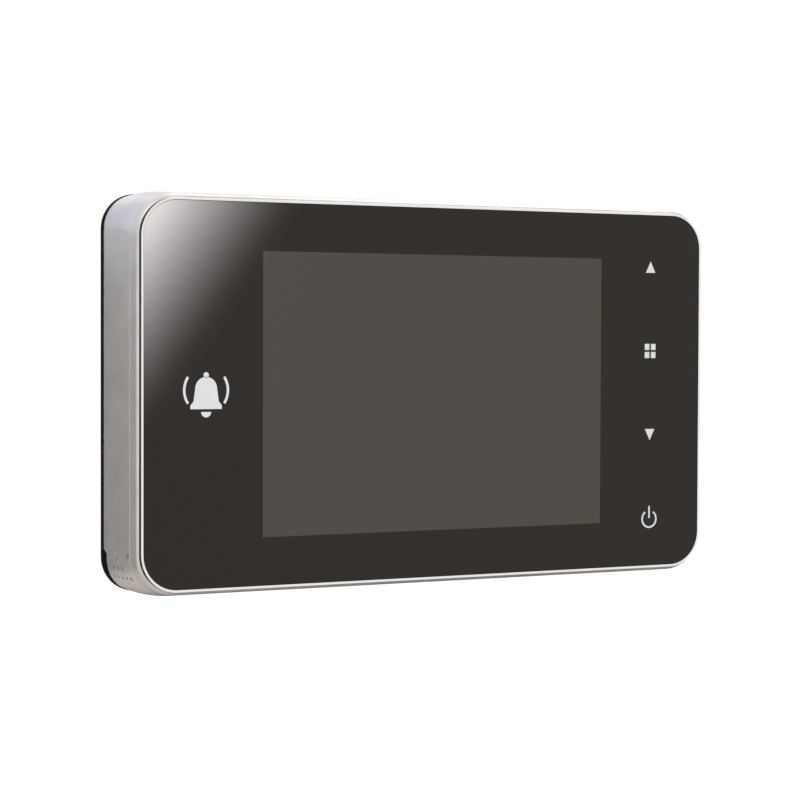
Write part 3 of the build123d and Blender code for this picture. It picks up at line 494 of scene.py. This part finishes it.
@dataclass(frozen=True)
class BellSign:
    """A plain bell with two sound lines, as on any doorbell, in shares of its height."""

    height: float = 0.0098
    steps: int = 10
    skirt: tuple[Pair, ...] = ((0.36, -0.30), (0.36, -0.22), (0.29, -0.14))
    dome: float = 0.25
    dome_middle: float = 0.13
    clapper_radius: float = 0.115
    clapper_middle: float = -0.36
    knob: float = 0.06
    knob_middle: float = 0.42
    wave: float = 0.5
    wave_middle: float = 0.1
    wave_width: float = 0.055
    wave_half_arc: float = 34.0

    def bell(self) -> list[Pair]:
        """Draw rim, flared skirt and dome.

        Returns:
            The outline's points round the bell's middle.
        """
        turns = [math.radians(90 * i / self.steps) for i in range(self.steps + 1)]
        half = list(self.skirt) + [(self.dome * math.cos(turn), self.dome_middle + self.dome * math.sin(turn))
                                   for turn in turns]
        whole = half + [(-x, z) for x, z in reversed(half[:-1])]
        return [(x * self.height, z * self.height) for x, z in whole]

    def clapper(self) -> list[Pair]:
        """The points of the clapper's half disc under the rim."""
        turns = [math.radians(180 + 180 * i / self.steps) for i in range(self.steps + 1)]
        return [(self.clapper_radius * math.cos(turn) * self.height,
                 (self.clapper_middle + self.clapper_radius * math.sin(turn)) * self.height)
                for turn in turns]

    def draw(self, centre: Pair, faces: Pair) -> Shape:
        """Make the sign's shape.

        Args:
            centre: its middle, across and up.
            faces: the places of its front and back along Y.

        Returns:
            The shape.
        """
        x, z = centre
        shape = Shape()
        for outline in (self.bell(), self.clapper()):
            shape.plate([(x + across, z + upright) for across, upright in outline], faces)
        shape.round_plate((x, z + self.knob_middle * self.height), self.knob * self.height, faces)
        for side in (0, 180):
            shape.arc_bar((x, z + self.wave_middle * self.height), self.wave * self.height,
                          self.wave_width * self.height,
                          (side - self.wave_half_arc, side + self.wave_half_arc), faces)
        return shape


@dataclass
class FrontPrint:
    """The white symbols on the front glass."""

    keys: float = 0.0554
    heights: tuple[float, ...] = (0.0283, 0.0091, -0.0101, -0.0295)
    arrow: Pair = (0.0026, 0.0026)
    tile: Pair = (0.00125, 0.0014)
    tile_gap: float = 0.00045
    ring: float = 0.0019
    stroke: float = 0.00042
    half_gap: float = 34.0
    bar: Pair = (0.0002, 0.0030)
    bell: BellSign = BellSign()
    bell_place: Pair = (-0.0839, 0.0)
    sink: float = 0.00001
    thickness: float = 0.00004
    x: float = field(init=False)
    faces: Pair = field(init=False)

    def __post_init__(self) -> None:
        """Find the keys' column and the glass's front face."""
        self.x = MONITOR_MIDDLE + self.keys
        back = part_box("front_glass")[0].y + self.sink
        self.faces = (back - self.thickness, back)

    def printed(self, shape: Shape, name: str) -> None:
        """Make a symbol's piece."""
        shape.finish(name, Body.MONITOR, PRINT, "front_glass")

    def arrow_key(self, name: str, z: float, upward: bool) -> None:
        """A filled triangle that points up or down.

        Args:
            name: the piece's name.
            z: its middle's height.
            upward: whether it points up.
        """
        half, tall = self.arrow[0] / 2, self.arrow[1] / 2 * (1 if upward else -1)
        corners = [(self.x - half, z - tall), (self.x + half, z - tall), (self.x, z + tall)]
        self.printed(Shape().plate(corners, self.faces), name)

    def menu_key(self, z: float) -> None:
        """Four tiles, two by two.

        Args:
            z: their middle's height.
        """
        wide, tall = self.tile
        shape = Shape()
        for side, level in QUARTERS:
            left = self.x + side * (self.tile_gap + wide) / 2 - wide / 2
            bottom = z + level * (self.tile_gap + tall) / 2 - tall / 2
            shape.plate(rectangle(left, bottom, wide, tall), self.faces)
        self.printed(shape, "menu_symbol")

    def power_key(self, z: float) -> None:
        """An open ring with a bar in its gap.

        Args:
            z: its middle's height.
        """
        shape = Shape()
        shape.arc_bar((self.x, z), self.ring, self.stroke, (90 + self.half_gap, 450 - self.half_gap),
                      self.faces)
        foot, top = self.bar
        shape.plate(rectangle(self.x - self.stroke / 2, z + foot, self.stroke, top - foot), self.faces)
        self.printed(shape, "power_symbol")

    def build(self) -> None:
        """Make the four key symbols and the bell."""
        up, menu, down, power = self.heights
        self.arrow_key("up_symbol", up, True)
        self.menu_key(menu)
        self.arrow_key("down_symbol", down, False)
        self.power_key(power)
        self.printed(self.bell.draw(self.bell_place, self.faces), "bell_symbol")


@dataclass(frozen=True)
class CrossHead:
    """A pan head with a cross recess, which faces +Y."""

    radius: float = 0.0022
    length: float = 0.0013
    arm: float = 0.0014
    arm_width: float = 0.00055
    recess: float = 0.0008
    recess_floor: float = 0.7
    flat: float = 0.84
    rounding: float = 0.16
    segments: int = 40

    def outline(self, centre: Point) -> list[Point]:
        """The cross's corners.

        Args:
            centre: the cross's middle.

        Returns:
            The twelve corners in turn.
        """
        x, y, z = centre
        arm, half = self.arm, self.arm_width / 2
        points = [(half, arm), (-half, arm), (-half, half), (-arm, half), (-arm, -half), (-half, -half),
                  (-half, -arm), (half, -arm), (half, -half), (arm, -half), (arm, half), (half, half)]
        return [(x + across, y, z + upright) for across, upright in points]

    def add(self, shape: Shape, centre: Point) -> None:
        """Add the head to a shape.

        Args:
            shape: the shape that gets it.
            centre: the middle of the head's top.
        """
        bm = shape.bm
        about = Matrix.Translation(-Vector(centre))
        place = Matrix.Translation(centre) @ Matrix.Rotation(math.pi / 2, 4, "X")
        circle = bmesh.ops.create_circle(bm, segments=self.segments, radius=self.radius * self.flat,
                                         matrix=place)
        ring = list({edge for vert in circle["verts"] for edge in vert.link_edges})
        corners = [bm.verts.new(corner) for corner in self.outline(centre)]
        cross = [bm.edges.new(pair) for pair in zip(corners, corners[1:] + corners[:1])]
        bmesh.ops.triangle_fill(bm, edges=ring + cross, use_beauty=True)
        walls = bmesh.ops.extrude_edge_only(bm, edges=cross)
        bmesh.ops.translate(bm, verts=verts_of(walls), vec=(0, -self.recess, 0))
        bmesh.ops.scale(bm, verts=verts_of(walls), vec=(self.recess_floor, 1, self.recess_floor), space=about)
        bmesh.ops.contextual_create(bm, geom=edges_of(walls))
        edge_drop = self.radius * self.rounding
        for grow, drop in ((1 / self.flat, edge_drop), (1.0, self.length - edge_drop)):
            side = bmesh.ops.extrude_edge_only(bm, edges=ring)
            ring = edges_of(side)
            bmesh.ops.translate(bm, verts=verts_of(side), vec=(0, -drop, 0))
            bmesh.ops.scale(bm, verts=verts_of(side), vec=(grow, 1, grow), space=about)
        bmesh.ops.contextual_create(bm, geom=ring)


@dataclass
class HousingScrews:
    """Cross-head screws that hold the rear cover, in place of the plain ones."""

    spread: Pair = (0.0500, 0.0352)
    head: CrossHead = CrossHead()
    shank: float = 0.00115
    tip: float = 0.5
    tip_length: float = 0.001
    segments: int = 20

    def build(self) -> None:
        """Make the four screws."""
        low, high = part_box("housing_screws")
        length = high.y - self.head.length - low.y
        profile = [(0.0, 0.0), (self.shank * self.tip, 0.0), (self.shank, self.tip_length),
                   (self.shank, length)]
        shape = Shape()
        for side, level in QUARTERS:
            x, z = MONITOR_MIDDLE + side * self.spread[0], level * self.spread[1]
            self.head.add(shape, (x, high.y, z))
            shape.turned(profile, (x, low.y, z), Axis.Y, self.segments)
        shape.finish("cross_screws", Body.MONITOR, STEEL, "screw_steel", ("housing_screws",))


@dataclass
class Cells:
    """The four cells: steel cans in printed sleeves, with their ends bare."""

    count: int = 4
    radius: float = 0.00725
    wrap: float = 0.0001
    band: float = 0.7
    rim: float = 0.0006
    dish: float = 0.0046
    dish_depth: float = 0.0003
    foot: Pair = (0.0050, 0.0062)
    crimp: Pair = (0.0064, 0.0058)
    groove: Pair = (0.0056, 0.0034)
    groove_depth: float = 0.0004
    seal: float = 0.0031
    seal_drop: float = 0.0001
    nub: float = 0.0027
    nub_length: float = 0.0010
    nub_edge: float = 0.0002
    nub_taper: float = 0.0005
    tuck: float = 0.0003
    roll: Pair = (0.00004, 0.0001)
    segments: int = 56

    def can(self, length: float) -> list[Pair]:
        """The can's profile.

        Args:
            length: its length without the nub.

        Returns:
            Pairs of a radius and a place, from the foot's middle to the nub's.
        """
        inner, top = self.radius - self.wrap, length + self.nub_length
        foot = [(0.0, self.dish_depth), (self.dish, self.dish_depth), (self.foot[0], 0.0),
                (self.foot[1], 0.0), (inner, self.rim)]
        shoulder = [(inner, length - self.rim), (self.crimp[0], length), (self.crimp[1], length)]
        floor = length - self.groove_depth
        groove = [(self.groove[0], floor), (self.groove[1], floor), (self.seal, length - self.seal_drop)]
        nub = [(self.nub, length), (self.nub - self.nub_edge, top - self.nub_edge),
               (self.nub - self.nub_taper, top), (0.0, top)]
        return foot + shoulder + groove + nub

    def film(self, start: float, end: float) -> list[Pair]:
        """The profile of a stretch of printed film with rolled edges.

        Args:
            start: where it starts along the cell.
            end: where it ends.

        Returns:
            Pairs of a radius and a place, closed.
        """
        under = self.radius - self.wrap - self.tuck
        drop, run = self.roll
        return [(under, start), (self.radius - drop, start + run), (self.radius, start + self.tuck),
                (self.radius, end - self.tuck), (self.radius - drop, end - run), (under, end), (under, start)]

    def cell(self, name: str, facing: int) -> None:
        """One cell in place of its node.

        Args:
            name: the node's name.
            facing: 1 when the nub is towards +X, or else -1.
        """
        low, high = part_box(name)
        length = high.x - low.x - self.nub_length
        start = low.x if facing == 1 else high.x
        middle = (start, (low.y + high.y) / 2, (low.z + high.z) / 2)

        def turned(profile: list[Pair]) -> Shape:
            """The profile turned about the cell's own line."""
            along = [(radius, facing * place) for radius, place in profile]
            return Shape().turned(along, middle, Axis.X, self.segments)

        turned(self.can(length)).finish(f"{name}_can", Body.MONITOR, NICKEL, "cell_can", (name,), smooth=True)
        ends, split = (self.rim / 2, length - self.rim / 2), length * self.band
        for part, start, end, finish in (("sleeve", ends[0], split, WRAP), ("band", split, ends[1], BAND)):
            turned(self.film(start, end)).finish(f"{name}_{part}", Body.MONITOR, finish, "cell_can",
                                                 smooth=True)

    def build(self) -> None:
        """Make all the cells, each turned the other way from the one before."""
        for index in range(1, self.count + 1):
            self.cell(f"battery_{index}", 1 if index % 2 == 0 else -1)


@dataclass
class BatteryCoverMark:
    """Raised arrow on the battery cover that shows which way it opens."""

    place: Pair = (-0.0505, 0.0)
    size: float = 0.004
    height: float = 0.00012
    sink: float = 0.0002

    def build(self) -> None:
        """Make the arrow."""
        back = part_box("battery_cover")[1].y
        (x, z), half = self.place, self.size / 2
        arrow = Shape().plate([(x - half, z), (x + half, z - half), (x + half, z + half)],
                              (back - self.sink, back + self.height))
        arrow.finish("opening_arrow", Body.COVER, BLACK, "black_cover")


@dataclass
class ThreadedBarrel:
    """The barrel's tube with its thread, in place of the plain tube."""

    bore: float = 0.0047
    core: float = 0.00548
    crest: float = 0.006
    chamfer: float = 0.0001
    pitch: float = 0.001
    foot_share: float = 0.92
    crest_share: float = 0.16
    run_out: float = 0.0006
    thread_sink: float = 0.00004
    turn_segments: int = 40
    collar: float = 0.008
    collar_length: float = 0.0012
    plain: float = 0.007

    def wind(self, shape: Shape, start: float, turns: int) -> None:
        """Wind the thread's ridge round the Y axis, right-handed.

        Args:
            shape: the shape that gets it.
            start: where it starts along Y.
            turns: how many turns it has.
        """
        half, core = self.pitch / 2, self.core - self.thread_sink
        foot, flat = half * self.foot_share, half * self.crest_share
        section = [(core, -foot), (self.crest, -flat), (self.crest, flat), (core, foot)]
        face = shape.bm.faces.new([shape.bm.verts.new((0, start + place, radius))
                                   for radius, place in section])
        bmesh.ops.spin(shape.bm, geom=[face], cent=(0, 0, 0), axis=(0, 1, 0), use_merge=False,
                       dvec=(0, self.pitch / self.turn_segments, 0), angle=2 * math.pi * turns,
                       steps=self.turn_segments * turns)

    def build(self) -> None:
        """Make tube and thread."""
        low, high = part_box("camera_barrel")
        length = high.y - low.y
        collar = length - self.collar_length
        shaft = collar - self.plain
        profile = [(self.bore, 0.0), (self.core - self.chamfer, 0.0), (self.core, self.chamfer),
                   (self.core, shaft), (self.crest, shaft), (self.crest, collar),
                   (self.collar, collar), (self.collar, length), (self.bore, length), (self.bore, 0.0)]
        shape = Shape().turned(profile, (0.0, low.y, 0.0), Axis.Y)
        self.wind(shape, low.y + self.run_out, int((shaft - 2 * self.run_out) / self.pitch))
        shape.finish("threaded_barrel", Body.HEAD, ANODISED, "barrel_metal", ("camera_barrel",), smooth=True)


@dataclass
class LensParts:
    """Stepped baffle between the lens and its window."""

    hole: float = 0.0034
    mouth: float = 0.0063
    sheet: float = 0.0002
    gap: float = 0.0002
    steps: int = 3

    def build(self) -> None:
        """Make the baffle."""
        start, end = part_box("lens")[1].y + self.gap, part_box("lens_window")[0].y - self.gap
        profile = [(self.hole, start)]
        for step in range(1, self.steps + 1):
            radius = self.hole + (self.mouth - self.hole) * step / self.steps
            profile += [(radius, profile[-1][1]), (radius, start + (end - start) * step / self.steps)]
        outer = [(radius + self.sheet, place) for radius, place in reversed(profile)]
        outer[-1] = (outer[-1][0], start - self.sheet)
        baffle = Shape().turned(profile + outer + [profile[0]], (0.0, 0.0, 0.0), Axis.Y)
        baffle.finish("lens_baffle", Body.HEAD, SOCKET, "socket_body")


@dataclass
class BellCap:
    """The bell button with a dished face, a rounded lip and a printed bell."""

    radius: float = 0.0068
    flange: float = 0.0077
    flange_length: float = 0.0010
    wall: float = 0.0015
    stem: float = 0.0016
    dish: float = 0.0002
    lip: tuple[Pair, ...] = ((0.0022, 0.0002), (0.0014, 0.00004), (0.0011, 0.0), (0.0007, 0.00004),
                             (0.0003, 0.0002), (0.0001, 0.0004), (0.0, 0.0007))
    print_height: float = 0.00004
    print_sink: float = 0.00002
    sign: BellSign = BellSign(0.0066)

    def build(self) -> None:
        """Make cap and print."""
        low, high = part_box("bell_button")
        x, z = (low.x + high.x) / 2, (low.z + high.z) / 2
        length = high.y - low.y
        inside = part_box("head_shell")[1].y - low.y
        lip = [(self.radius - inset, length - drop) for inset, drop in self.lip]
        inner = self.radius - self.wall
        profile = [(0.0, length - self.dish), *lip, (self.radius, self.flange_length),
                   (self.flange, self.flange_length), (self.flange, 0.0), (inner, 0.0), (inner, inside),
                   (self.stem, inside), (self.stem, 0.0), (0.0, 0.0)]
        cap = Shape().turned(profile, (x, low.y, z), Axis.Y)
        cap.finish("dished_bell_cap", Body.BELL, BELL_CAP, "bell_cap", ("bell_button",), smooth=True)
        face = high.y - self.dish
        sign = self.sign.draw((x, z), (face + self.print_height, face - self.print_sink))
        sign.finish("bell_print", Body.BELL, PRINT, "bell_cap")


@dataclass(frozen=True)
class Chip:
    """A block that stands on a board, towards -Y: its middle, its size and its height."""

    across: float
    upright: float
    wide: float
    tall: float
    height: float
    bevel: float = 0.0001

    def add(self, shape: Shape, origin: Point) -> Shape:
        """Add the chip to a shape.

        Args:
            shape: the shape that gets it.
            origin: the point on the board that its middle is counted from.

        Returns:
            The shape.
        """
        x, y, z = origin[0] + self.across, origin[1], origin[2] + self.upright
        return shape.block((x - self.wide / 2, y - self.height, z - self.tall / 2),
                           (x + self.wide / 2, y, z + self.tall / 2), self.bevel)


@dataclass
class BoardParts:
    """Chips and passives on the boards, and the memory card's contacts."""

    chips: tuple[Chip, ...] = (Chip(0.012, 0.012, 0.009, 0.009, 0.001),
                               Chip(0.016, -0.012, 0.012, 0.006, 0.0011),
                               Chip(-0.012, -0.016, 0.007, 0.007, 0.0009),
                               Chip(-0.026, 0.015, 0.005, 0.004, 0.0009))
    passive: Chip = Chip(-0.0035, -0.02225, 0.001, 0.0005, 0.0005, 0.00005)
    passive_grid: tuple[int, int] = (9, 3)
    passive_pitch: Pair = (0.0024, 0.0016)
    camera_plug: Chip = Chip(0.0, -0.0130, 0.014, 0.004, 0.0014)
    camera_chip: Chip = Chip(0.0, -0.0215, 0.008, 0.007, 0.0009)
    contacts: int = 8
    contact_pitch: float = 0.0011
    contact_start: float = 0.0012
    contact_width: float = 0.0007
    contact_reach: Pair = (0.0006, 0.0034)
    contact_height: float = 0.00001
    contact_sink: float = 0.00002

    def main_board(self) -> None:
        """Parts on the main board's front."""
        low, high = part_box("main_board")
        x, z = (low.x + high.x) / 2, (low.z + high.z) / 2
        chips, small = Shape(), Shape()
        for chip in self.chips:
            chip.add(chips, (x, low.y, z))
        chips.finish("board_chips", Body.MONITOR, SOCKET, "circuit_board")
        columns, rows = self.passive_grid
        for row in range(rows):
            for column in range(columns):
                shift = (column * self.passive_pitch[0], row * self.passive_pitch[1])
                self.passive.add(small, (x + shift[0], low.y, z + shift[1]))
        small.finish("board_passives", Body.MONITOR, PASSIVE, "circuit_board")

    def camera_board(self) -> None:
        """Connector and chip behind the camera board."""
        low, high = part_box("camera_board")
        origin = ((low.x + high.x) / 2, low.y, 0.0)
        self.camera_plug.add(Shape(), origin).finish("camera_plug", Body.HEAD, SOCKET, "socket_body")
        self.camera_chip.add(Shape(), origin).finish("camera_chip", Body.HEAD, SOCKET, "circuit_board")

    def card_contacts(self) -> None:
        """Gold contacts on the memory card's inner end."""
        low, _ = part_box("memory_card")
        near, far = self.contact_reach
        shape = Shape()
        for index in range(self.contacts):
            z = low.z + self.contact_start + index * self.contact_pitch
            shape.block((low.x + near, low.y - self.contact_height, z),
                        (low.x + far, low.y + self.contact_sink, z + self.contact_width))
        shape.finish("card_contacts", Body.CARD, GOLD, "card_plastic")

    def build(self) -> None:
        """Make all of them."""
        self.main_board()
        self.camera_board()
        self.card_contacts()


def aimed(place: Point, way: Vector) -> Matrix:
    """The matrix of something at a place whose -Z side looks one way."""
    return Matrix.Translation(place) @ way.to_track_quat("-Z", "Y").to_matrix().to_4x4()


def light_only(source: bpy.types.Object, names: tuple[str, ...]) -> None:
    """Let a lamp or a glowing card light some nodes and nothing else.

    Args:
        source: the lamp or card.
        names: the nodes that it lights, or none for everything.
    """
    if names:
        lit = bpy.data.collections.new(source.name + "_lights")
        for name in names:
            lit.objects.link(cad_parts[name])
        source.light_linking.receiver_collection = lit


@dataclass(frozen=True)
class Lamp:
    """A soft rectangular lamp that stands at a place and faces a target."""

    name: str
    place: Point
    target: Point
    size: Pair
    power: float
    colour: Colour = WHITE
    lights: tuple[str, ...] = ()

    def build(self) -> None:
        """Make the lamp, which the camera doesn't see."""
        data = bpy.data.lights.new(self.name, "AREA")
        data.shape = "RECTANGLE"
        data.size, data.size_y = self.size
        data.energy = self.power
        data.color = self.colour
        lamp = bpy.data.objects.new(self.name, data)
        lamp.matrix_world = aimed(self.place, Vector(self.target) - Vector(self.place))
        bpy.context.scene.collection.objects.link(lamp)
        lamp.visible_camera = False
        light_only(lamp, self.lights)


def only_in_gloss(card: bpy.types.Object) -> None:
    """Hide a card from all but reflections.

    Args:
        card: the card.
    """
    for kind in ("camera", "diffuse", "shadow", "transmission", "volume_scatter"):
        setattr(card, "visible_" + kind, False)


def tone(name: str, strength: float, colour: Colour = WHITE) -> bpy.types.Material:
    """A material that glows evenly.

    Args:
        name: its name.
        strength: its brightness.
        colour: its colour.

    Returns:
        The material.
    """
    tree = Tree(bpy.data.materials.new(name))
    tree.feed(tree.surface, tree.glow(strength, colour))
    return tree.owner


@dataclass(frozen=True)
class Card:
    """A flat card at a place, turned to a target, that only gloss shows."""

    name: str
    place: Point
    target: Point
    size: Pair
    strength: float
    colour: Colour = WHITE
    lights: tuple[str, ...] = ()

    def build(self, material: bpy.types.Material | None = None) -> None:
        """Make the card, whose Object coordinates start at its middle.

        Args:
            material: its material, or None for an even tone.
        """
        shape = bmesh.new()
        bmesh.ops.create_grid(shape, x_segments=1, y_segments=1, size=0.5)
        bmesh.ops.scale(shape, verts=shape.verts, vec=(*self.size, 1.0))
        card = linked(self.name, shape, material or tone(self.name + "_tone", self.strength, self.colour))
        card.matrix_world = aimed(self.place, Vector(self.place) - Vector(self.target))
        only_in_gloss(card)
        light_only(card, self.lights)


@dataclass
class BentFlag:
    """Black strip, bent so that the trim's bevel mirrors it round the near end of the monitor."""

    trim_corner: Pair = (-0.0903, 0.0327)
    trim_radius: float = 0.00815
    bevel_lean: float = 12.8
    distance: float = 0.34
    width: float = 0.07
    upper_end: int = 75
    lower_end: int = -90
    step: int = 5

    def row(self, eye: Vector, turn: float, level: float) -> list[Vector]:
        """The strip's two edge points for one place on the bevel.

        Args:
            eye: the camera's place.
            turn: how far round the corner the place is, in degrees.
            level: the height of that corner's centre.

        Returns:
            The two points.
        """
        angle, lean = math.radians(turn), math.radians(self.bevel_lean)
        outward = Vector((-math.cos(angle), 0.0, math.sin(angle)))
        normal = outward * math.cos(lean) + Vector((0.0, -math.sin(lean), 0.0))
        corner = Vector((self.trim_corner[0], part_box("chrome_trim")[0].y, level))
        point = corner + outward * self.trim_radius
        view = (eye - point).normalized()
        ray = 2 * normal.dot(view) * normal - view
        across = ray.cross(Vector((math.sin(angle), 0.0, math.cos(angle)))).normalized()
        return [point + ray * self.distance + across * side * self.width / 2 for side in (-1, 1)]

    def build(self, eye: Vector) -> None:
        """Make the strip.

        Args:
            eye: the camera's place.
        """
        height = self.trim_corner[1]
        stations = [(turn, height) for turn in range(self.upper_end, -1, -self.step)]
        stations += [(turn, -height) for turn in range(0, self.lower_end - 1, -self.step)]
        shape = bmesh.new()
        rows = [[shape.verts.new(point) for point in self.row(eye, *station)] for station in stations]
        for (near, far), (next_near, next_far) in zip(rows, rows[1:]):
            shape.faces.new((near, far, next_far, next_near))
        only_in_gloss(linked("bent_flag", shape, tone("bent_flag_tone", 0.02)))


@dataclass
class Studio:
    """Camera, floor, lamps and the soft cards that the gloss shows."""

    camera: Point = (-0.268147, -0.454635, 0.012347)
    right: Point = (0.8834, -0.46861, 0.00366)
    up: Point = (0.01001, 0.02669, 0.99959)
    lens: float = 102.02
    sensor: float = 36.0
    clip: Pair = (0.01, 20.0)
    room: float = 0.62
    floor: float = -0.34
    floor_reach: float = 6.0
    floor_colour: Colour = (0.86, 0.86, 0.86)
    floor_lift: float = 0.55
    glow_card: Card = Card("corner_glow_card", (0.1377, -0.622, 0.0789), (0.1377, 0.0, 0.0789), (0.30, 0.30),
                           40.0, (1.0, 0.97, 0.965), ("front_glass",))
    glow_fade: Pair = (0.0873, 0.1196)
    glow_far_side: float = 0.06
    glow_power: float = 2.0
    lamps: tuple[Lamp, ...] = (
        Lamp("key", (-0.45, -0.9, 0.75), (-0.03, 0.0, 0.0), (0.7, 0.5), 3.0),
        Lamp("overhead", (0.20, 0.04, 0.55), (-0.03, 0.0, 0.04), (0.7, 0.4), 2.2, (0.78, 0.88, 1.0)),
        Lamp("corner", (-0.150, 0.055, 0.092), (-0.097, -0.008, 0.030), (0.20, 0.14), 0.09,
             (0.62, 0.74, 1.0), ("front_frame", "main_housing")),
        Lamp("near_front", (-0.190, -0.100, 0.0), (-0.0985, -0.012, 0.0), (0.08, 0.12), 0.03,
             (0.50, 0.62, 1.0)))
    cards: tuple[Card, ...] = (
        Card("side_glow", (-0.72, 0.11, 0.02), (-0.1, -0.02, 0.0), (0.22, 0.7), 0.9, (0.66, 0.78, 1.0)),
        Card("dark_flag", (-0.33, 0.76, 0.0), (-0.1, -0.02, 0.0), (0.5, 1.5), 0.03),
        Card("low_flag", (0.30, 0.50, -0.25), (-0.03, -0.02, -0.04), (1.6, 0.15), 0.02, (1.0, 0.97, 0.95)),
        Card("under_flag", (0.09, 0.0, -0.25), (-0.03, -0.02, -0.04), (0.8, 0.26), 0.02, (1.0, 0.97, 0.95)),
        Card("high_glow", (0.55, 0.43, 0.30), (-0.03, -0.02, 0.04), (0.62, 0.4), 2.5, (0.82, 0.92, 1.0)))

    def place_camera(self) -> None:
        """Stand the camera where the photograph was taken."""
        right, up = Vector(self.right).normalized(), Vector(self.up)
        back = right.cross(up).normalized()
        up = back.cross(right)
        data = bpy.data.cameras.new("camera")
        data.lens = self.lens
        data.sensor_width = self.sensor
        data.clip_start, data.clip_end = self.clip
        camera = bpy.data.objects.new("camera", data)
        turn = Matrix((right, up, back)).transposed().to_4x4()
        camera.matrix_world = Matrix.Translation(self.camera) @ turn
        bpy.context.scene.collection.objects.link(camera)
        bpy.context.scene.camera = camera

    def light_world(self) -> None:
        """An even room that looks white to the camera, in gloss and through glass."""
        tree = Tree(bpy.data.worlds.new("room"), "OutputWorld")
        seen = tree.seen_by("Camera", "Glossy", "Transmission")
        level = tree.spread(seen, self.room, 1.0, (0.0, 1.0))
        tree.feed(tree.surface, tree.add("Background", {"Color": WHITE, "Strength": level}))
        bpy.context.scene.world = tree.owner

    def lay_floor(self) -> None:
        """A wide pale floor well below the object, white to the camera outside the shadow."""
        tree = Tree(bpy.data.materials.new("pale_floor"))
        matte = tree.add("BsdfDiffuse", {"Color": self.floor_colour})
        lift = tree.glow(tree.math("MULTIPLY", tree.seen_by("Camera"), self.floor_lift))
        lifted = tree.add("AddShader", {0: matte, 1: lift})
        mirrored = tree.seen_by("Glossy", "Transmission")
        tree.feed(tree.surface, tree.add("MixShader", {0: mirrored, 1: lifted, 2: tree.glow(1.0)}))
        shape = bmesh.new()
        bmesh.ops.create_grid(shape, x_segments=1, y_segments=1, size=self.floor_reach,
                              matrix=Matrix.Translation((0, 0, self.floor)))
        linked("floor", shape, tree.owner)

    def corner_glow(self) -> None:
        """Soft box whose fading edge the glass mirrors in its upper left corner."""
        tree = Tree(bpy.data.materials.new("corner_glow"))
        away = [tree.math("MAXIMUM", tree.math("DIVIDE", place, -reach),
                          tree.math("DIVIDE", place, self.glow_far_side))
                for place, reach in zip(tree.axes(), self.glow_fade)]
        near = tree.spread(tree.math("ADD", *away), 1.0, 0.0, (0.0, 1.0))
        fade = tree.math("POWER", near, self.glow_power)
        strength = tree.math("MULTIPLY", fade, self.glow_card.strength)
        glow = tree.glow(strength, self.glow_card.colour)
        tree.feed(tree.surface, tree.add("AddShader", {0: tree.add("BsdfTransparent", {}), 1: glow}))
        self.glow_card.build(tree.owner)

    def build(self) -> None:
        """Make the whole studio."""
        self.place_camera()
        self.light_world()
        self.lay_floor()
        for lamp in self.lamps:
            lamp.build()
        self.corner_glow()
        BentFlag().build(Vector(self.camera))
        for card in self.cards:
            card.build()


def dress_nodes() -> None:
    """Give every CAD node its finish."""
    finishes = {name: finish for finish, names in DRESS.items() for name in names}
    for name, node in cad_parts.items():
        node.data.materials.clear()
        node.data.materials.append(finishes[name].material())
        for polygon in node.data.polygons:
            polygon.material_index = 0
    log.info("dressed %d nodes", len(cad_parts))


def plain(box: tuple[Vector, Vector]) -> list[list[float]]:
    """A box as plain lists of numbers."""
    return [list(corner) for corner in box]


def main() -> None:
    """Build the scene."""
    bpy.context.scene.view_settings.view_transform = "Standard"
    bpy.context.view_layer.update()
    Studio().build()
    dress_nodes()
    for part in (FrontPrint(), HousingScrews(), Cells(), BatteryCoverMark(), ThreadedBarrel(), LensParts(),
                 BellCap(), BoardParts()):
        part.build()


if __name__ == "__main__":
    main()
